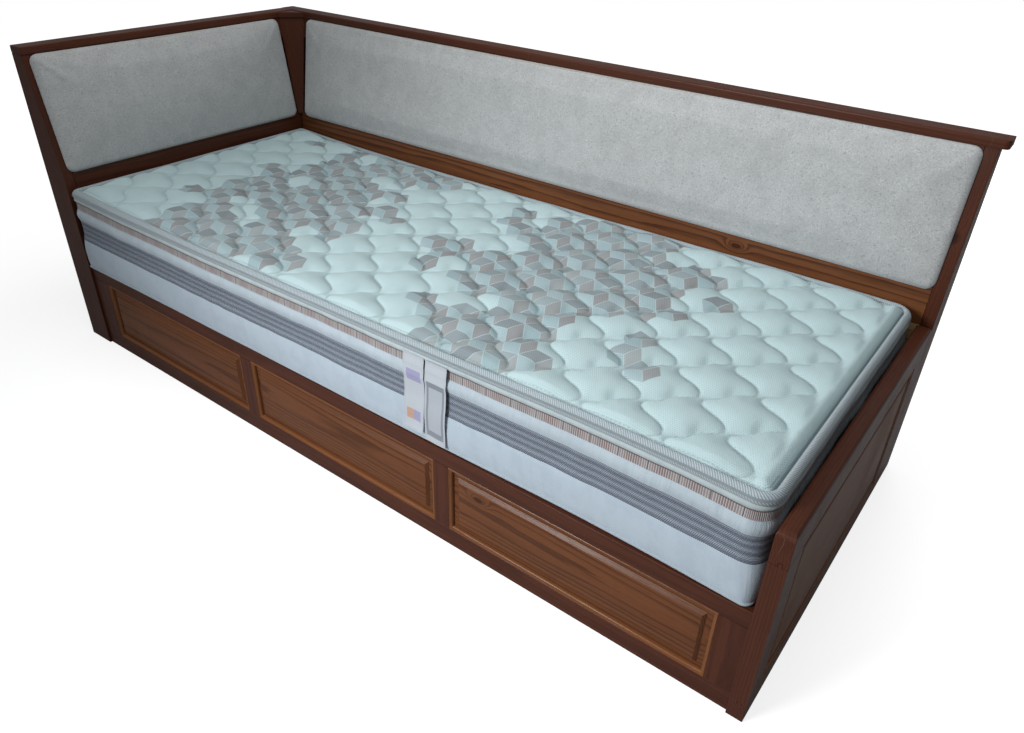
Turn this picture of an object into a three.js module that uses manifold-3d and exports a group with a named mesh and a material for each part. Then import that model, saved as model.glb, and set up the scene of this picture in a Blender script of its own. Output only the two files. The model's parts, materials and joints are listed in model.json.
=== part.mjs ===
// Bench bed: a single bed with a high left end and a high back, both with a cushion,
// a low right end, a panelled front, and a storage box under a base that lifts on arms.
// Millimetres. x runs right from the outer face of the left end, y runs back from the
// front faces of the end pieces, z runs up from the floor.
import * as THREE from 'three';
import { mergeVertices } from 'three/addons/utils/BufferGeometryUtils.js';
import Module from 'manifold-3d';

const seat = 0.3;              // gap left at every joint that touches

// Mattress, and the room that the box leaves round it
const mattressLength = 1990;
const mattressDepth = 800;
const mattressHeight = 215;
const mattressLeftGap = 14;
const mattressRightGap = 6;
const mattressFront = 7;       // from the front faces of the end pieces
const mattressBackGap = 11;
const mattressCorner = 75;
const quiltColumns = 26;
const quiltRows = 11;
const quiltRise = 9;
const pipingHeight = 14;
const pipingProud = 3;
const rollInset = 9;

// High walls: upright outside, leaning back inside above the mattress
const wallThickness = 96;
const wallTopThickness = 48;
const leanStart = 530;
const wallTop = 824;
const wallBoard = 26;          // boards that close the free ends of the walls
const wallRailThickness = 30;
const topRailHeight = 60;
const midRailHeight = 90;
const bottomRailHeight = 90;
const skinThickness = 6;
const liningThickness = 12;

// Cap on the high walls
const capThickness = 18;
const capProud = 4;            // from the top of the leaning face to the edge of the cap
const capOverhang = 16;
const capRound = 5;
const capCornerRound = 12;
const capInfillLeg = 57;

// Board across the inner corner, between the two leaning faces
const cornerBoardTopLeg = 57;
const cornerBoardBottomLeg = 14;

// Low right end
const endThickness = 32;
const endHeight = 445;
const endTopRail = 66;
const endBottomRail = 46;
const endStile = 70;
const endArris = 9;
const endLining = 10;

// Front frame, set back between the end pieces
const frontSetback = 6;
const frameThickness = 22;
const frontHeight = 255;
const frontTopRail = 39;
const frontBottomRail = 46;
const leftStile = 72;
const midStile = 40;
const rightStile = 53;
const frontPanelCount = 3;

// Raised and fielded panels, their grooves and their beads
const tongueThickness = 7;
const tongueReach = 7.5;
const grooveSetback = 9;       // from the face of the frame to the front of the groove
const beadWidth = 9;
const bevelWidth = 22;
const bevelRise = 5.8;
const fieldStep = 1.5;
const fieldStepWidth = 1.2;

// Cushions
const cushionHang = 6;         // from the start of the leaning face down to the cushion's lower edge
const cushionCapGap = 2;
const cushionRadius = 28;
const cushionEdge = 13;
const cushionCrown = 24;
const cushionWrap = 4;         // cloth and foam round the edges of the board
const cushionBoardThickness = 6;
const cushionBow = 3;          // how far the sides are drawn in between the corners
const leftCushionFront = 14;
const leftCushionRearGap = 18;
const backCushionLeftGap = 24;
const backCushionRightMargin = 23;

// Lift base
const baseFrontGap = 20;
const baseRearGap = 18;
const baseRailThickness = 30;
const baseRailHeight = 50;
const sideAngleFlange = 30;
const sideAngleThickness = 4;
const slatThickness = 9.7;
const slatWidth = 62;
const slatCount = 16;
const slatEndMargin = 50;
const slatOverlap = 26;        // how far a slat lies on a rail
const tapeWidth = 30;
const tapeThickness = 1.5;
const tapePlaceShares = [0.2, 0.8];
const ledgerHeight = 30;
const ledgerOverlap = 27;      // how far the base lies on a ledger

// Storage floor
const floorTop = 30;
const floorThickness = 8;
const battenWidth = 60;
const battenPlaceShares = [0.12, 0.5, 0.88];

// Lift fittings: places of the pivots as shares of the inner depth, with their heights over
// the storage floor for those on the walls and over the base's lower edge for those on the base
const armPivotShare = 0.417;
const armPivotRise = 104;
const linkPivotShare = 0.1235;
const linkPivotRise = 17;
const strutPivotShare = 0.6357;
const strutPivotRise = 18;
const armBasePivotShare = 0.725;
const armBasePivotRise = 43;
const linkBasePivotShare = 0.6137;
const linkBasePivotRise = 4;
const strutBasePivotShare = 0.8068;
const strutBasePivotRise = 31;
const plateThickness = 4;
const plateMargin = 14;
const plateGap = 0.7;          // from the plate to the arm beside it
const armThickness = 5;
const armRadius = 14;
const linkGap = 4;             // from the arm to the link beside it
const linkThickness = 5;
const linkRadius = 11;
const linkEndRadius = 14.5;
const pinRadius = 5;
const slimPinRadius = 4;
const headRadius = 9;
const headThickness = 2.2;
const linkPinPlay = 4.3;       // hole at the link's upper end
const strutPlay = 1;           // eye at the strut's upper end
const strutRadius = 9;
const strutGap = 1;            // from the link to the strut beside it
const strutEyeThickness = 12;
const strutEyeRadius = 10;
const cylinderLength = 128;
const rodRadius = 4;
const rodInside = 100;
const boreLength = 112;
const roundSteps = 14;         // sides of a round piece

// Worked out from the sizes above
const innerLength = mattressLeftGap + mattressLength + mattressRightGap;
const innerDepth = mattressFront + mattressDepth + mattressBackGap;
const leftInner = wallThickness;
const rightInner = leftInner + innerLength;
const rightOuter = rightInner + endThickness;
const overallLength = rightOuter + capOverhang;
const backInner = innerDepth;
const backOuter = innerDepth + wallThickness;
const leanRise = wallTop - leanStart;
const leanRun = wallThickness - wallTopThickness;
const leanLength = Math.hypot(leanRise, leanRun);
const leanCos = leanRise / leanLength;
const leanSin = leanRun / leanLength;
const capDepth = wallTopThickness + capProud;
const cushionBottom = leanStart - cushionHang;
const cushionTop = wallTop - cushionCapGap;
const frameFace = frontSetback;
const frameRear = frontSetback + frameThickness;
const grooveWidth = tongueThickness + 2 * seat;
const grooveDepth = tongueReach + seat;
const mattressBottom = frontHeight + seat;
const mattressLeft = leftInner + mattressLeftGap;
const slatTop = mattressBottom - seat;
const slatBottom = slatTop - slatThickness;
const railTop = slatBottom - seat;
const baseBottom = railTop - baseRailHeight;
const baseFront = frameRear + baseFrontGap;
const baseRear = innerDepth - baseRearGap;

const wasm = await Module();
wasm.setup();

const xAxis = new THREE.Vector3(1, 0, 0);
const yAxis = new THREE.Vector3(0, 1, 0);
const zAxis = new THREE.Vector3(0, 0, 1);

const bench = new THREE.Group();
bench.position.set(-overallLength / 2, -backOuter / 2, 0);

const walnut = new THREE.MeshStandardMaterial({ color: 0x4d2f25, roughness: 0.4, metalness: 0 });
const panelWood = new THREE.MeshStandardMaterial({ color: 0x5a3626, roughness: 0.4, metalness: 0 });
const plywood = new THREE.MeshStandardMaterial({ color: 0xb08d5e, roughness: 0.7, metalness: 0 });
const slatWood = new THREE.MeshStandardMaterial({ color: 0xcaa877, roughness: 0.6, metalness: 0 });
const steel = new THREE.MeshStandardMaterial({ color: 0x2b2c2e, roughness: 0.45, metalness: 0.6 });
const chrome = new THREE.MeshStandardMaterial({ color: 0xc8ccd0, roughness: 0.15, metalness: 1 });
const cushionCloth = new THREE.MeshStandardMaterial({ color: 0xaaafae, roughness: 0.95, metalness: 0 });
const mattressCloth = new THREE.MeshStandardMaterial({ color: 0xd3e0dc, roughness: 0.9, metalness: 0 });

// Solids

function toSolid(geometry) {
  const bare = geometry.clone();
  bare.deleteAttribute('normal');
  bare.deleteAttribute('uv');
  const merged = mergeVertices(bare, 1e-3);
  const vertProperties = new Float32Array(merged.attributes.position.array);
  const triVerts = new Uint32Array(merged.index.array);
  return new wasm.Manifold(new wasm.Mesh({ numProp: 3, vertProperties, triVerts }));
}

function toGeometry(solid) {
  const mesh = solid.getMesh();
  const geometry = new THREE.BufferGeometry();
  geometry.setAttribute('position', new THREE.BufferAttribute(mesh.vertProperties, 3));
  geometry.setIndex(new THREE.BufferAttribute(mesh.triVerts, 1));
  const flat = geometry.toNonIndexed();
  flat.computeVertexNormals();
  return flat;
}

function join(...geometries) {
  return toGeometry(geometries.map(toSolid).reduce((sum, solid) => sum.add(solid)));
}

function cut(geometry, ...cutters) {
  return toGeometry(cutters.map(toSolid).reduce((rest, cutter) => rest.subtract(cutter), toSolid(geometry)));
}

function box(x0, x1, y0, y1, z0, z1) {
  const geometry = new THREE.BoxGeometry(x1 - x0, y1 - y0, z1 - z0);
  return geometry.translate((x0 + x1) / 2, (y0 + y1) / 2, (z0 + z1) / 2);
}

// A closed outline of corners [u, v, radius], rounded where a radius is given.
function outline(corners) {
  const shape = new THREE.Shape();
  corners.forEach(([u, v, radius = 0], i) => {
    const corner = new THREE.Vector2(u, v);
    const previous = new THREE.Vector2(...corners.at(i - 1));
    const next = new THREE.Vector2(...corners[(i + 1) % corners.length]);
    const start = previous.sub(corner).setLength(radius).add(corner);
    const end = next.sub(corner).setLength(radius).add(corner);
    if (i === 0) shape.moveTo(start.x, start.y);
    else shape.lineTo(start.x, start.y);
    if (radius > 0) shape.quadraticCurveTo(corner.x, corner.y, end.x, end.y);
  });
  return shape;
}

function extrude(shape, depth, curveSegments = 4) {
  return new THREE.ExtrudeGeometry(shape, { depth, bevelEnabled: false, curveSegments });
}

// An outline in (y, z) carried along x.
function alongX(shape, x0, x1, curveSegments) {
  const turn = new THREE.Matrix4().makeBasis(yAxis, zAxis, xAxis);
  return extrude(shape, x1 - x0, curveSegments).applyMatrix4(turn).translate(x0, 0, 0);
}

// An outline in (x, z) carried along y.
function alongY(shape, y0, y1, curveSegments) {
  const turn = new THREE.Matrix4().makeBasis(xAxis, zAxis, yAxis.clone().negate());
  return extrude(shape, y1 - y0, curveSegments).applyMatrix4(turn).translate(0, y1, 0);
}

// An outline in (x, y) carried along z.
function alongZ(shape, z0, z1, curveSegments) {
  return extrude(shape, z1 - z0, curveSegments).translate(0, 0, z0);
}

// A closed skin over rings of equally many points, from the first ring to the last.
function loft(rings) {
  const count = rings[0].length;
  const centreOf = (ring) => ring.reduce((sum, p) => sum.add(p), new THREE.Vector3()).divideScalar(count);
  const points = [...rings.flat(), centreOf(rings[0]), centreOf(rings.at(-1))];
  const first = rings.length * count;
  const index = [];
  for (let k = 0; k < count; k++) {
    const next = (k + 1) % count;
    for (let r = 0; r + 1 < rings.length; r++) {
      const low = r * count;
      const high = low + count;
      index.push(low + k, low + next, high + next, low + k, high + next, high + k);
    }
    index.push(first, next, k);
    index.push(first + 1, first - count + k, first - count + next);
  }
  const geometry = new THREE.BufferGeometry().setFromPoints(points);
  geometry.setIndex(index);
  const flat = geometry.toNonIndexed();
  flat.computeVertexNormals();
  return flat;
}

// A ring of a width x height rectangle at height w: drawn in by inset, corners of a radius,
// and the sides bowed in between the corners.
function rectangleRing(width, height, inset, w, radius = 0, bow = 0, arcSteps = 0, sideSteps = [0, 0]) {
  const r = Math.max(radius - inset, radius / 10);
  const points = [];
  const corners = [
    [width - inset - r, inset + r],
    [width - inset - r, height - inset - r],
    [inset + r, height - inset - r],
    [inset + r, inset + r],
  ];
  corners.forEach(([u, v], i) => {
    const startAngle = (i - 1) * Math.PI / 2;
    for (let k = 0; k <= arcSteps; k++) {
      const angle = startAngle + (arcSteps ? k / arcSteps : 0) * Math.PI / 2;
      points.push(new THREE.Vector3(u + r * Math.cos(angle), v + r * Math.sin(angle), w));
    }
    const endAngle = i * Math.PI / 2;
    const from = new THREE.Vector3(u + r * Math.cos(endAngle), v + r * Math.sin(endAngle), w);
    const [nextU, nextV] = corners[(i + 1) % corners.length];
    const to = new THREE.Vector3(nextU + r * Math.cos(endAngle), nextV + r * Math.sin(endAngle), w);
    const steps = sideSteps[i % 2];
    for (let k = 1; k <= steps; k++) {
      const t = k / (steps + 1);
      const inward = bow * 4 * t * (1 - t);
      const point = from.clone().lerp(to, t);
      point.x -= inward * Math.cos(endAngle);
      point.y -= inward * Math.sin(endAngle);
      points.push(point);
    }
  });
  return points;
}

// Faces that a flat piece is laid on: u to the right, v up, w towards the viewer.
const frontFacing = (x, y, z) =>
  new THREE.Matrix4().makeBasis(xAxis, zAxis, yAxis.clone().negate()).setPosition(x, y, z);
const rightFacing = (x, y, z) => new THREE.Matrix4().makeBasis(yAxis, zAxis, xAxis).setPosition(x, y, z);

function add(name, geometry, material) {
  const mesh = new THREE.Mesh(geometry, material);
  mesh.name = name;
  bench.add(mesh);
  return mesh;
}

// Panels and beads

function fieldedPanel(width, height) {
  const fullWidth = width + 2 * tongueReach;
  const fullHeight = height + 2 * tongueReach;
  const groovePoint = -grooveSetback - seat;
  const bevelStart = tongueReach + beadWidth + seat;
  const bevelEnd = bevelStart + bevelWidth;
  const bevelTop = groovePoint + bevelRise;
  const profile = [
    [0, groovePoint - tongueThickness],
    [0, groovePoint],
    [bevelStart, groovePoint],
    [bevelEnd, bevelTop],
    [bevelEnd + fieldStepWidth, bevelTop + fieldStep],
  ];
  const rings = profile.map(([inset, w]) => rectangleRing(fullWidth, fullHeight, inset, w));
  return loft(rings).translate(-tongueReach, -tongueReach, 0);
}

// A quarter-round stick with mitred corners, round the inside of an opening.
function panelBead(width, height) {
  const steps = 4;
  const profile = [[seat, -grooveSetback]];
  for (let k = 0; k <= steps; k++) {
    const angle = k / steps * Math.PI / 2;
    const inset = seat + (beadWidth - seat) * Math.sin(angle);
    profile.push([inset, -grooveSetback + grooveSetback * Math.cos(angle)]);
  }
  const rings = profile.map(([inset, w]) => rectangleRing(width, height, inset, w));
  const count = rings[0].length;
  const index = [];
  rings.forEach((ring, r) => {
    const low = r * count;
    const high = (r + 1) % rings.length * count;
    for (let k = 0; k < count; k++) {
      const next = (k + 1) % count;
      index.push(low + k, low + next, high + next, low + k, high + next, high + k);
    }
  });
  const geometry = new THREE.BufferGeometry().setFromPoints(rings.flat());
  geometry.setIndex(index);
  return geometry.toNonIndexed();
}

// Front frame

const frontLeft = leftInner + seat;
const frontRight = rightInner - seat;
const openingBottom = frontBottomRail;
const openingTop = frontHeight - frontTopRail;
const openingHeight = openingTop - openingBottom;
const stileWidths = [leftStile, midStile, midStile, rightStile];
const stileTotal = stileWidths.reduce((sum, width) => sum + width, 0);
const openingWidth = (frontRight - frontLeft - stileTotal) / frontPanelCount;
const grooveFront = frameFace + grooveSetback;
const grooveRear = grooveFront + grooveWidth;

add(
  'front_top_rail',
  cut(
    box(frontLeft, frontRight, frameFace, frameRear, openingTop, frontHeight),
    box(frontLeft - seat, frontRight + seat, grooveFront, grooveRear, openingTop - grooveDepth, openingTop + grooveDepth),
  ),
  walnut,
);
add(
  'front_bottom_rail',
  cut(
    box(frontLeft, frontRight, frameFace, frameRear, 0, openingBottom),
    box(frontLeft - seat, frontRight + seat, grooveFront, grooveRear, openingBottom - grooveDepth, openingBottom + grooveDepth),
  ),
  walnut,
);

let stileLeft = frontLeft;
stileWidths.forEach((width, i) => {
  const stileRight = stileLeft + width;
  const body = box(stileLeft, stileRight, frameFace, frameRear, openingBottom + seat, openingTop - seat);
  const tenonBottom = openingBottom - tongueReach;
  const tenonTop = openingTop + tongueReach;
  const tenon = box(stileLeft, stileRight, grooveFront + seat, grooveRear - seat, tenonBottom, tenonTop);
  const grooves = [];
  if (i > 0) grooves.push([stileLeft - grooveDepth, stileLeft + grooveDepth]);
  if (i < frontPanelCount) grooves.push([stileRight - grooveDepth, stileRight + grooveDepth]);
  const cutters = grooves.map(([x0, x1]) => box(x0, x1, grooveFront, grooveRear, tenonBottom - seat, tenonTop + seat));
  add(`front_stile_${i + 1}`, cut(join(body, tenon), ...cutters), walnut);
  if (i < frontPanelCount) {
    const onFrame = frontFacing(stileRight, frameFace, openingBottom);
    add(`front_panel_${i + 1}`, fieldedPanel(openingWidth, openingHeight).applyMatrix4(onFrame), panelWood);
    add(`front_bead_${i + 1}`, panelBead(openingWidth, openingHeight).applyMatrix4(onFrame), walnut);
  }
  stileLeft = stileRight + openingWidth;
});

// Low right end

const endRear = backInner - seat;
const endOpeningBottom = endBottomRail;
const endOpeningTop = endHeight - endTopRail;
const endOpeningHeight = endOpeningTop - endOpeningBottom;
const endOpeningFront = endStile;
const endOpeningRear = endRear - endStile;
const endOpeningDepth = endOpeningRear - endOpeningFront;
const endGrooveOuter = rightOuter - grooveSetback;
const endGrooveInner = endGrooveOuter - grooveWidth;

const topRailOutline = outline([
  [0, endOpeningTop],
  [endRear, endOpeningTop],
  [endRear, endHeight, endArris + endArris],
  [0, endHeight, endArris + endArris],
]);
const arrisOutline = outline([
  [rightInner, endOpeningTop - endHeight],
  [rightOuter, endOpeningTop - endHeight],
  [rightOuter, endHeight, endArris],
  [rightInner, endHeight, endArris],
]);
const topRailBlank = toSolid(alongX(topRailOutline, rightInner, rightOuter));
const topRailSection = toSolid(alongY(arrisOutline, 0, endRear));
add(
  'right_end_top_rail',
  cut(
    toGeometry(topRailBlank.intersect(topRailSection)),
    box(endGrooveInner, endGrooveOuter, -seat, endRear + seat, endOpeningTop - grooveDepth, endOpeningTop + grooveDepth),
  ),
  walnut,
);
add(
  'right_end_bottom_rail',
  cut(
    box(rightInner, rightOuter, 0, endRear, 0, endOpeningBottom),
    box(endGrooveInner, endGrooveOuter, -seat, endRear + seat, endOpeningBottom - grooveDepth, endOpeningBottom + grooveDepth),
  ),
  walnut,
);

function endStileSolid(y0, y1, grooveY) {
  const body = box(rightInner, rightOuter, y0, y1, endOpeningBottom + seat, endOpeningTop - seat);
  const tenonBottom = endOpeningBottom - tongueReach;
  const tenonTop = endOpeningTop + tongueReach;
  const tenon = box(endGrooveInner + seat, endGrooveOuter - seat, y0, y1, tenonBottom, tenonTop);
  const groove = box(
    endGrooveInner, endGrooveOuter, grooveY - grooveDepth, grooveY + grooveDepth, tenonBottom - seat, tenonTop + seat,
  );
  return cut(join(body, tenon), groove);
}
add('right_end_front_stile', endStileSolid(0, endOpeningFront, endOpeningFront), walnut);
add('right_end_rear_stile', endStileSolid(endOpeningRear, endRear, endOpeningRear), walnut);

const onEnd = rightFacing(rightOuter, endOpeningFront, endOpeningBottom);
add('right_end_panel', fieldedPanel(endOpeningDepth, endOpeningHeight).applyMatrix4(onEnd), panelWood);
add('right_end_bead', panelBead(endOpeningDepth, endOpeningHeight).applyMatrix4(onEnd), walnut);
add(
  'right_end_lining',
  box(
    rightInner, rightInner + endLining,
    endOpeningFront + seat, endOpeningRear - seat,
    endOpeningBottom + seat, endOpeningTop - seat,
  ),
  plywood,
);

// High walls: section across the wall as corners [distance from the outer face, z]

const leaningSection = [
  [0, 0],
  [wallThickness, 0],
  [wallThickness, leanStart],
  [wallTopThickness, wallTop - seat],
  [0, wallTop - seat],
];
const fromBack = ([across, z]) => [backOuter - across, z];
const wallAt = (z) => wallThickness - (z - leanStart) * leanRun / leanRise;

add('left_front_board', alongY(outline(leaningSection), 0, wallBoard), walnut);
add(
  'back_right_board',
  alongX(outline(leaningSection.map(fromBack).reverse()), rightOuter - wallBoard, rightOuter),
  walnut,
);

// The corner post is hollowed where both leaning faces pass through it.
const hollowAt = (z) => {
  const x0 = wallAt(z);
  const x1 = wallThickness + wallRailThickness;
  const y0 = backInner - wallRailThickness;
  const y1 = backOuter - wallAt(z);
  return [
    new THREE.Vector3(x0, y0, z),
    new THREE.Vector3(x1, y0, z),
    new THREE.Vector3(x1, y1, z),
    new THREE.Vector3(x0, y1, z),
  ];
};
add(
  'corner_post',
  cut(
    box(0, wallThickness, backInner, backOuter, 0, wallTop - seat),
    loft([hollowAt(leanStart), hollowAt(wallTop + capThickness)]),
  ),
  walnut,
);

// The rails and boards of a wall, as sections across it and the stretch that they cover.
const topRailBottom = wallTop - topRailHeight;
const topRailSectionCorners = [
  [wallAt(topRailBottom) - wallRailThickness, topRailBottom],
  [wallAt(topRailBottom), topRailBottom],
  [wallTopThickness, wallTop - seat],
  [wallTopThickness - wallRailThickness, wallTop - seat],
];
const rectangle = (across0, across1, z0, z1) => [
  [across0, z0],
  [across1, z0],
  [across1, z1],
  [across0, z1],
];
const railInner = wallThickness - wallRailThickness;
const liningInner = wallThickness - liningThickness;
const liningBottom = bottomRailHeight + seat;
const liningTop = leanStart - midRailHeight - seat;
const wallSections = {
  top_rail: [topRailSectionCorners, walnut],
  mid_rail: [rectangle(railInner, wallThickness, leanStart - midRailHeight, leanStart), walnut],
  bottom_rail: [rectangle(railInner, wallThickness, 0, bottomRailHeight), walnut],
  lining: [rectangle(liningInner, wallThickness, liningBottom, liningTop), plywood],
  outer_skin: [rectangle(0, skinThickness, 0, wallTop - seat), walnut],
};
for (const [name, [section, material]] of Object.entries(wallSections)) {
  const leftShape = outline(section);
  const backShape = outline(section.map(fromBack).reverse());
  add(`left_${name}`, alongY(leftShape, wallBoard + seat, backInner - seat), material);
  add(`back_${name}`, alongX(backShape, wallThickness + seat, rightOuter - wallBoard - seat), material);
}

// Board across the inner corner, touching both leaning faces

const cornerTriangle = (leg, z) => {
  const face = wallAt(z) + seat;
  return [
    new THREE.Vector3(face, backOuter - face - leg, z),
    new THREE.Vector3(face + leg, backOuter - face, z),
    new THREE.Vector3(face, backOuter - face, z),
  ];
};
add(
  'corner_board',
  loft([cornerTriangle(cornerBoardBottomLeg, leanStart), cornerTriangle(cornerBoardTopLeg, wallTop - seat)]),
  walnut,
);

// Caps

const capTop = wallTop + capThickness;
const capSection = (across) => outline([
  [across(0), wallTop],
  [across(capDepth), wallTop],
  [across(capDepth), capTop, capRound],
  [across(0), capTop, capRound],
]);
add('left_cap', alongY(capSection((d) => d), 0, backOuter - capDepth - seat), walnut);
const backCapLength = toSolid(
  alongX(outline([
    [backOuter - capDepth, wallTop],
    [backOuter, wallTop],
    [backOuter, capTop, capRound],
    [backOuter - capDepth, capTop, capRound],
  ]), 0, overallLength),
);
const backCapPlan = toSolid(
  alongZ(outline([
    [0, backOuter - capDepth],
    [overallLength, backOuter - capDepth, capCornerRound],
    [overallLength, backOuter],
    [0, backOuter],
  ]), wallTop - capThickness, capTop + capThickness),
);
add('back_cap', toGeometry(backCapLength.intersect(backCapPlan)), walnut);
const infillCorner = capDepth + seat;
add(
  'cap_infill',
  alongZ(outline([
    [infillCorner, backOuter - infillCorner - capInfillLeg],
    [infillCorner + capInfillLeg, backOuter - infillCorner],
    [infillCorner, backOuter - infillCorner],
  ]), wallTop, capTop - capRound / 2),
  walnut,
);

// Cushions: a board on the leaning face, padded over and wrapped round its edges

const cushionRise = (cushionTop - cushionBottom) / leanCos;
const leanDrop = (leanStart - cushionBottom) / leanCos;
const leftLean = new THREE.Matrix4().makeBasis(
  yAxis,
  new THREE.Vector3(-leanSin, 0, leanCos),
  new THREE.Vector3(leanCos, 0, leanSin),
).setPosition(wallThickness, 0, leanStart);
const backLean = new THREE.Matrix4().makeBasis(
  xAxis,
  new THREE.Vector3(0, leanSin, leanCos),
  new THREE.Vector3(0, -leanCos, leanSin),
).setPosition(0, backInner, leanStart);
const cushionInsetShares = [0, 0, 0.01, 0.05, 0.14, 0.3, 0.46];
const cushionHeightShares = [0, 0.6, 0.9, 1];

function cushionBoard(width, grow) {
  const wrap = cushionWrap - grow;
  const radius = cushionRadius - wrap;
  const shape = outline([
    [wrap, wrap, radius],
    [width - wrap, wrap, radius],
    [width - wrap, cushionRise - wrap, radius],
    [wrap, cushionRise - wrap, radius],
  ]);
  return extrude(shape, cushionBoardThickness + 2 * grow).translate(0, 0, seat - grow);
}

function cushionPad(width) {
  const rings = cushionInsetShares.map((share, i) => {
    const inset = share * cushionRise;
    const edge = cushionEdge * (cushionHeightShares[i] ?? 1);
    const inwards = 1 - share / cushionInsetShares.at(-1);
    const crown = (cushionCrown - cushionEdge) * (1 - inwards * inwards);
    const w = seat + edge + (i < cushionHeightShares.length - 1 ? 0 : crown);
    return rectangleRing(width, cushionRise, inset, w, cushionRadius, cushionBow, 5, [2, 8]);
  });
  const recess = cushionBoard(width, seat);
  return cut(loft(rings), recess);
}

function cushion(name, lean, start, width) {
  const onLean = lean.clone().multiply(new THREE.Matrix4().makeTranslation(start, -leanDrop, 0));
  add(`${name}_board`, cushionBoard(width, 0).applyMatrix4(onLean), plywood);
  add(name, cushionPad(width).applyMatrix4(onLean), cushionCloth);
}
const backCushionRight = rightOuter - backCushionRightMargin;
const backCushionLeft = leftInner + backCushionLeftGap;
cushion('left_cushion', leftLean, leftCushionFront, backInner - leftCushionRearGap - leftCushionFront);
cushion('back_cushion', backLean, backCushionLeft, backCushionRight - backCushionLeft);

// Storage floor with battens under it, and the ledgers that carry the base

const floorFront = frameRear + seat;
const floorRear = backInner - seat;
const floorParts = [box(leftInner + seat, rightInner - seat, floorFront, floorRear, floorTop - floorThickness, floorTop)];
battenPlaceShares.forEach((share) => {
  const middle = floorFront + share * (floorRear - floorFront);
  const top = floorTop - floorThickness / 2;
  floorParts.push(box(leftInner + seat, rightInner - seat, middle - battenWidth / 2, middle + battenWidth / 2, 0, top));
});
add('storage_floor', join(...floorParts), plywood);

// Layers of the lift fittings, from the end wall inwards

const plateOuter = leftInner + seat;
const plateInner = plateOuter + plateThickness;
const armOuter = plateInner + plateGap;
const armInner = armOuter + armThickness;
const linkOuter = armInner + linkGap;
const linkInner = linkOuter + linkThickness;
const strutMiddle = linkInner + strutGap + strutRadius;
const eyeOuter = strutMiddle - strutEyeThickness / 2;
const eyeInner = strutMiddle + strutEyeThickness / 2;
const angleLeft = strutMiddle + strutRadius + strutGap;
const angleRight = leftInner + rightInner - angleLeft;

// Ledgers that carry the lift base

const ledgerTop = baseBottom - seat;
const ledgerBottom = ledgerTop - ledgerHeight;
const ledgerLeft = angleLeft + sideAngleFlange;
const ledgerRight = angleRight - sideAngleFlange;
const frontLedgerRear = baseFront + ledgerOverlap;
const rearLedgerFront = baseRear - ledgerOverlap;
add(
  'front_ledger',
  box(ledgerLeft, ledgerRight, frameRear + seat, frontLedgerRear, ledgerBottom, ledgerTop),
  slatWood,
);
add(
  'rear_ledger',
  box(ledgerLeft, ledgerRight, rearLedgerFront, backInner - seat, ledgerBottom, ledgerTop),
  slatWood,
);

// Lift base

const railLeft = angleLeft + sideAngleThickness + seat;
const railRight = angleRight - sideAngleThickness - seat;
const railBottom = baseBottom + sideAngleThickness + seat;

function baseRail(y0, y1) {
  const rail = box(railLeft, railRight, y0, y1, baseBottom, railTop);
  const flange = sideAngleFlange + seat;
  const notches = [
    box(railLeft - flange, angleLeft + flange, y0 - seat, y1 + seat, baseBottom - seat, railBottom),
    box(angleRight - flange, railRight + flange, y0 - seat, y1 + seat, baseBottom - seat, railBottom),
  ];
  return cut(rail, ...notches);
}
add('base_front_rail', baseRail(baseFront, baseFront + baseRailThickness), slatWood);
add('base_rear_rail', baseRail(baseRear - baseRailThickness, baseRear), slatWood);

const slatFront = baseFront + baseRailThickness - slatOverlap;
const slatRear = baseRear - baseRailThickness + slatOverlap;
const firstSlat = railLeft + slatEndMargin;
const lastSlat = railRight - slatEndMargin - slatWidth;
const slatParts = [];
for (let i = 0; i < slatCount; i++) {
  const x0 = firstSlat + i / (slatCount - 1) * (lastSlat - firstSlat);
  slatParts.push(box(x0, x0 + slatWidth, slatFront, slatRear, slatBottom, slatTop));
}
tapePlaceShares.forEach((share) => {
  const middle = slatFront + share * (slatRear - slatFront);
  const y0 = middle - tapeWidth / 2;
  const tapeTop = slatBottom + tapeThickness;
  slatParts.push(box(firstSlat, lastSlat + slatWidth, y0, y0 + tapeWidth, slatBottom - tapeThickness, tapeTop));
});
add('slat_mat', join(...slatParts), slatWood);

// Lift fittings: made for the left end, and mirrored in x for the right end

const onWall = (share, rise) => [share * innerDepth, floorTop + rise];
const onBase = (share, rise) => [share * innerDepth, baseBottom + rise];
const armPivot = onWall(armPivotShare, armPivotRise);
const linkPivot = onWall(linkPivotShare, linkPivotRise);
const strutPivot = onWall(strutPivotShare, strutPivotRise);
const armBasePivot = onBase(armBasePivotShare, armBasePivotRise);
const linkBasePivot = onBase(linkBasePivotShare, linkBasePivotRise);
const strutBasePivot = onBase(strutBasePivotShare, strutBasePivotRise);

function disc(centre, radius, x0, x1) {
  const shape = new THREE.Shape().absarc(centre[0], centre[1], radius, 0, 2 * Math.PI);
  return alongX(shape, x0, x1, roundSteps / 2);
}

// A flat bar with round ends between two points.
function bar(from, to, radius, endRadius, x0, x1) {
  const angle = Math.atan2(to[1] - from[1], to[0] - from[0]);
  const side = [-Math.sin(angle) * radius, Math.cos(angle) * radius];
  const shape = outline([
    [from[0] - side[0], from[1] - side[1]],
    [to[0] - side[0], to[1] - side[1]],
    [to[0] + side[0], to[1] + side[1]],
    [from[0] + side[0], from[1] + side[1]],
  ]);
  return join(alongX(shape, x0, x1), disc(from, endRadius, x0, x1), disc(to, endRadius, x0, x1));
}

const overrun = plateThickness;
const hole = (centre, radius, x0, x1) => disc(centre, radius, x0 - overrun, x1 + overrun);

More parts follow.
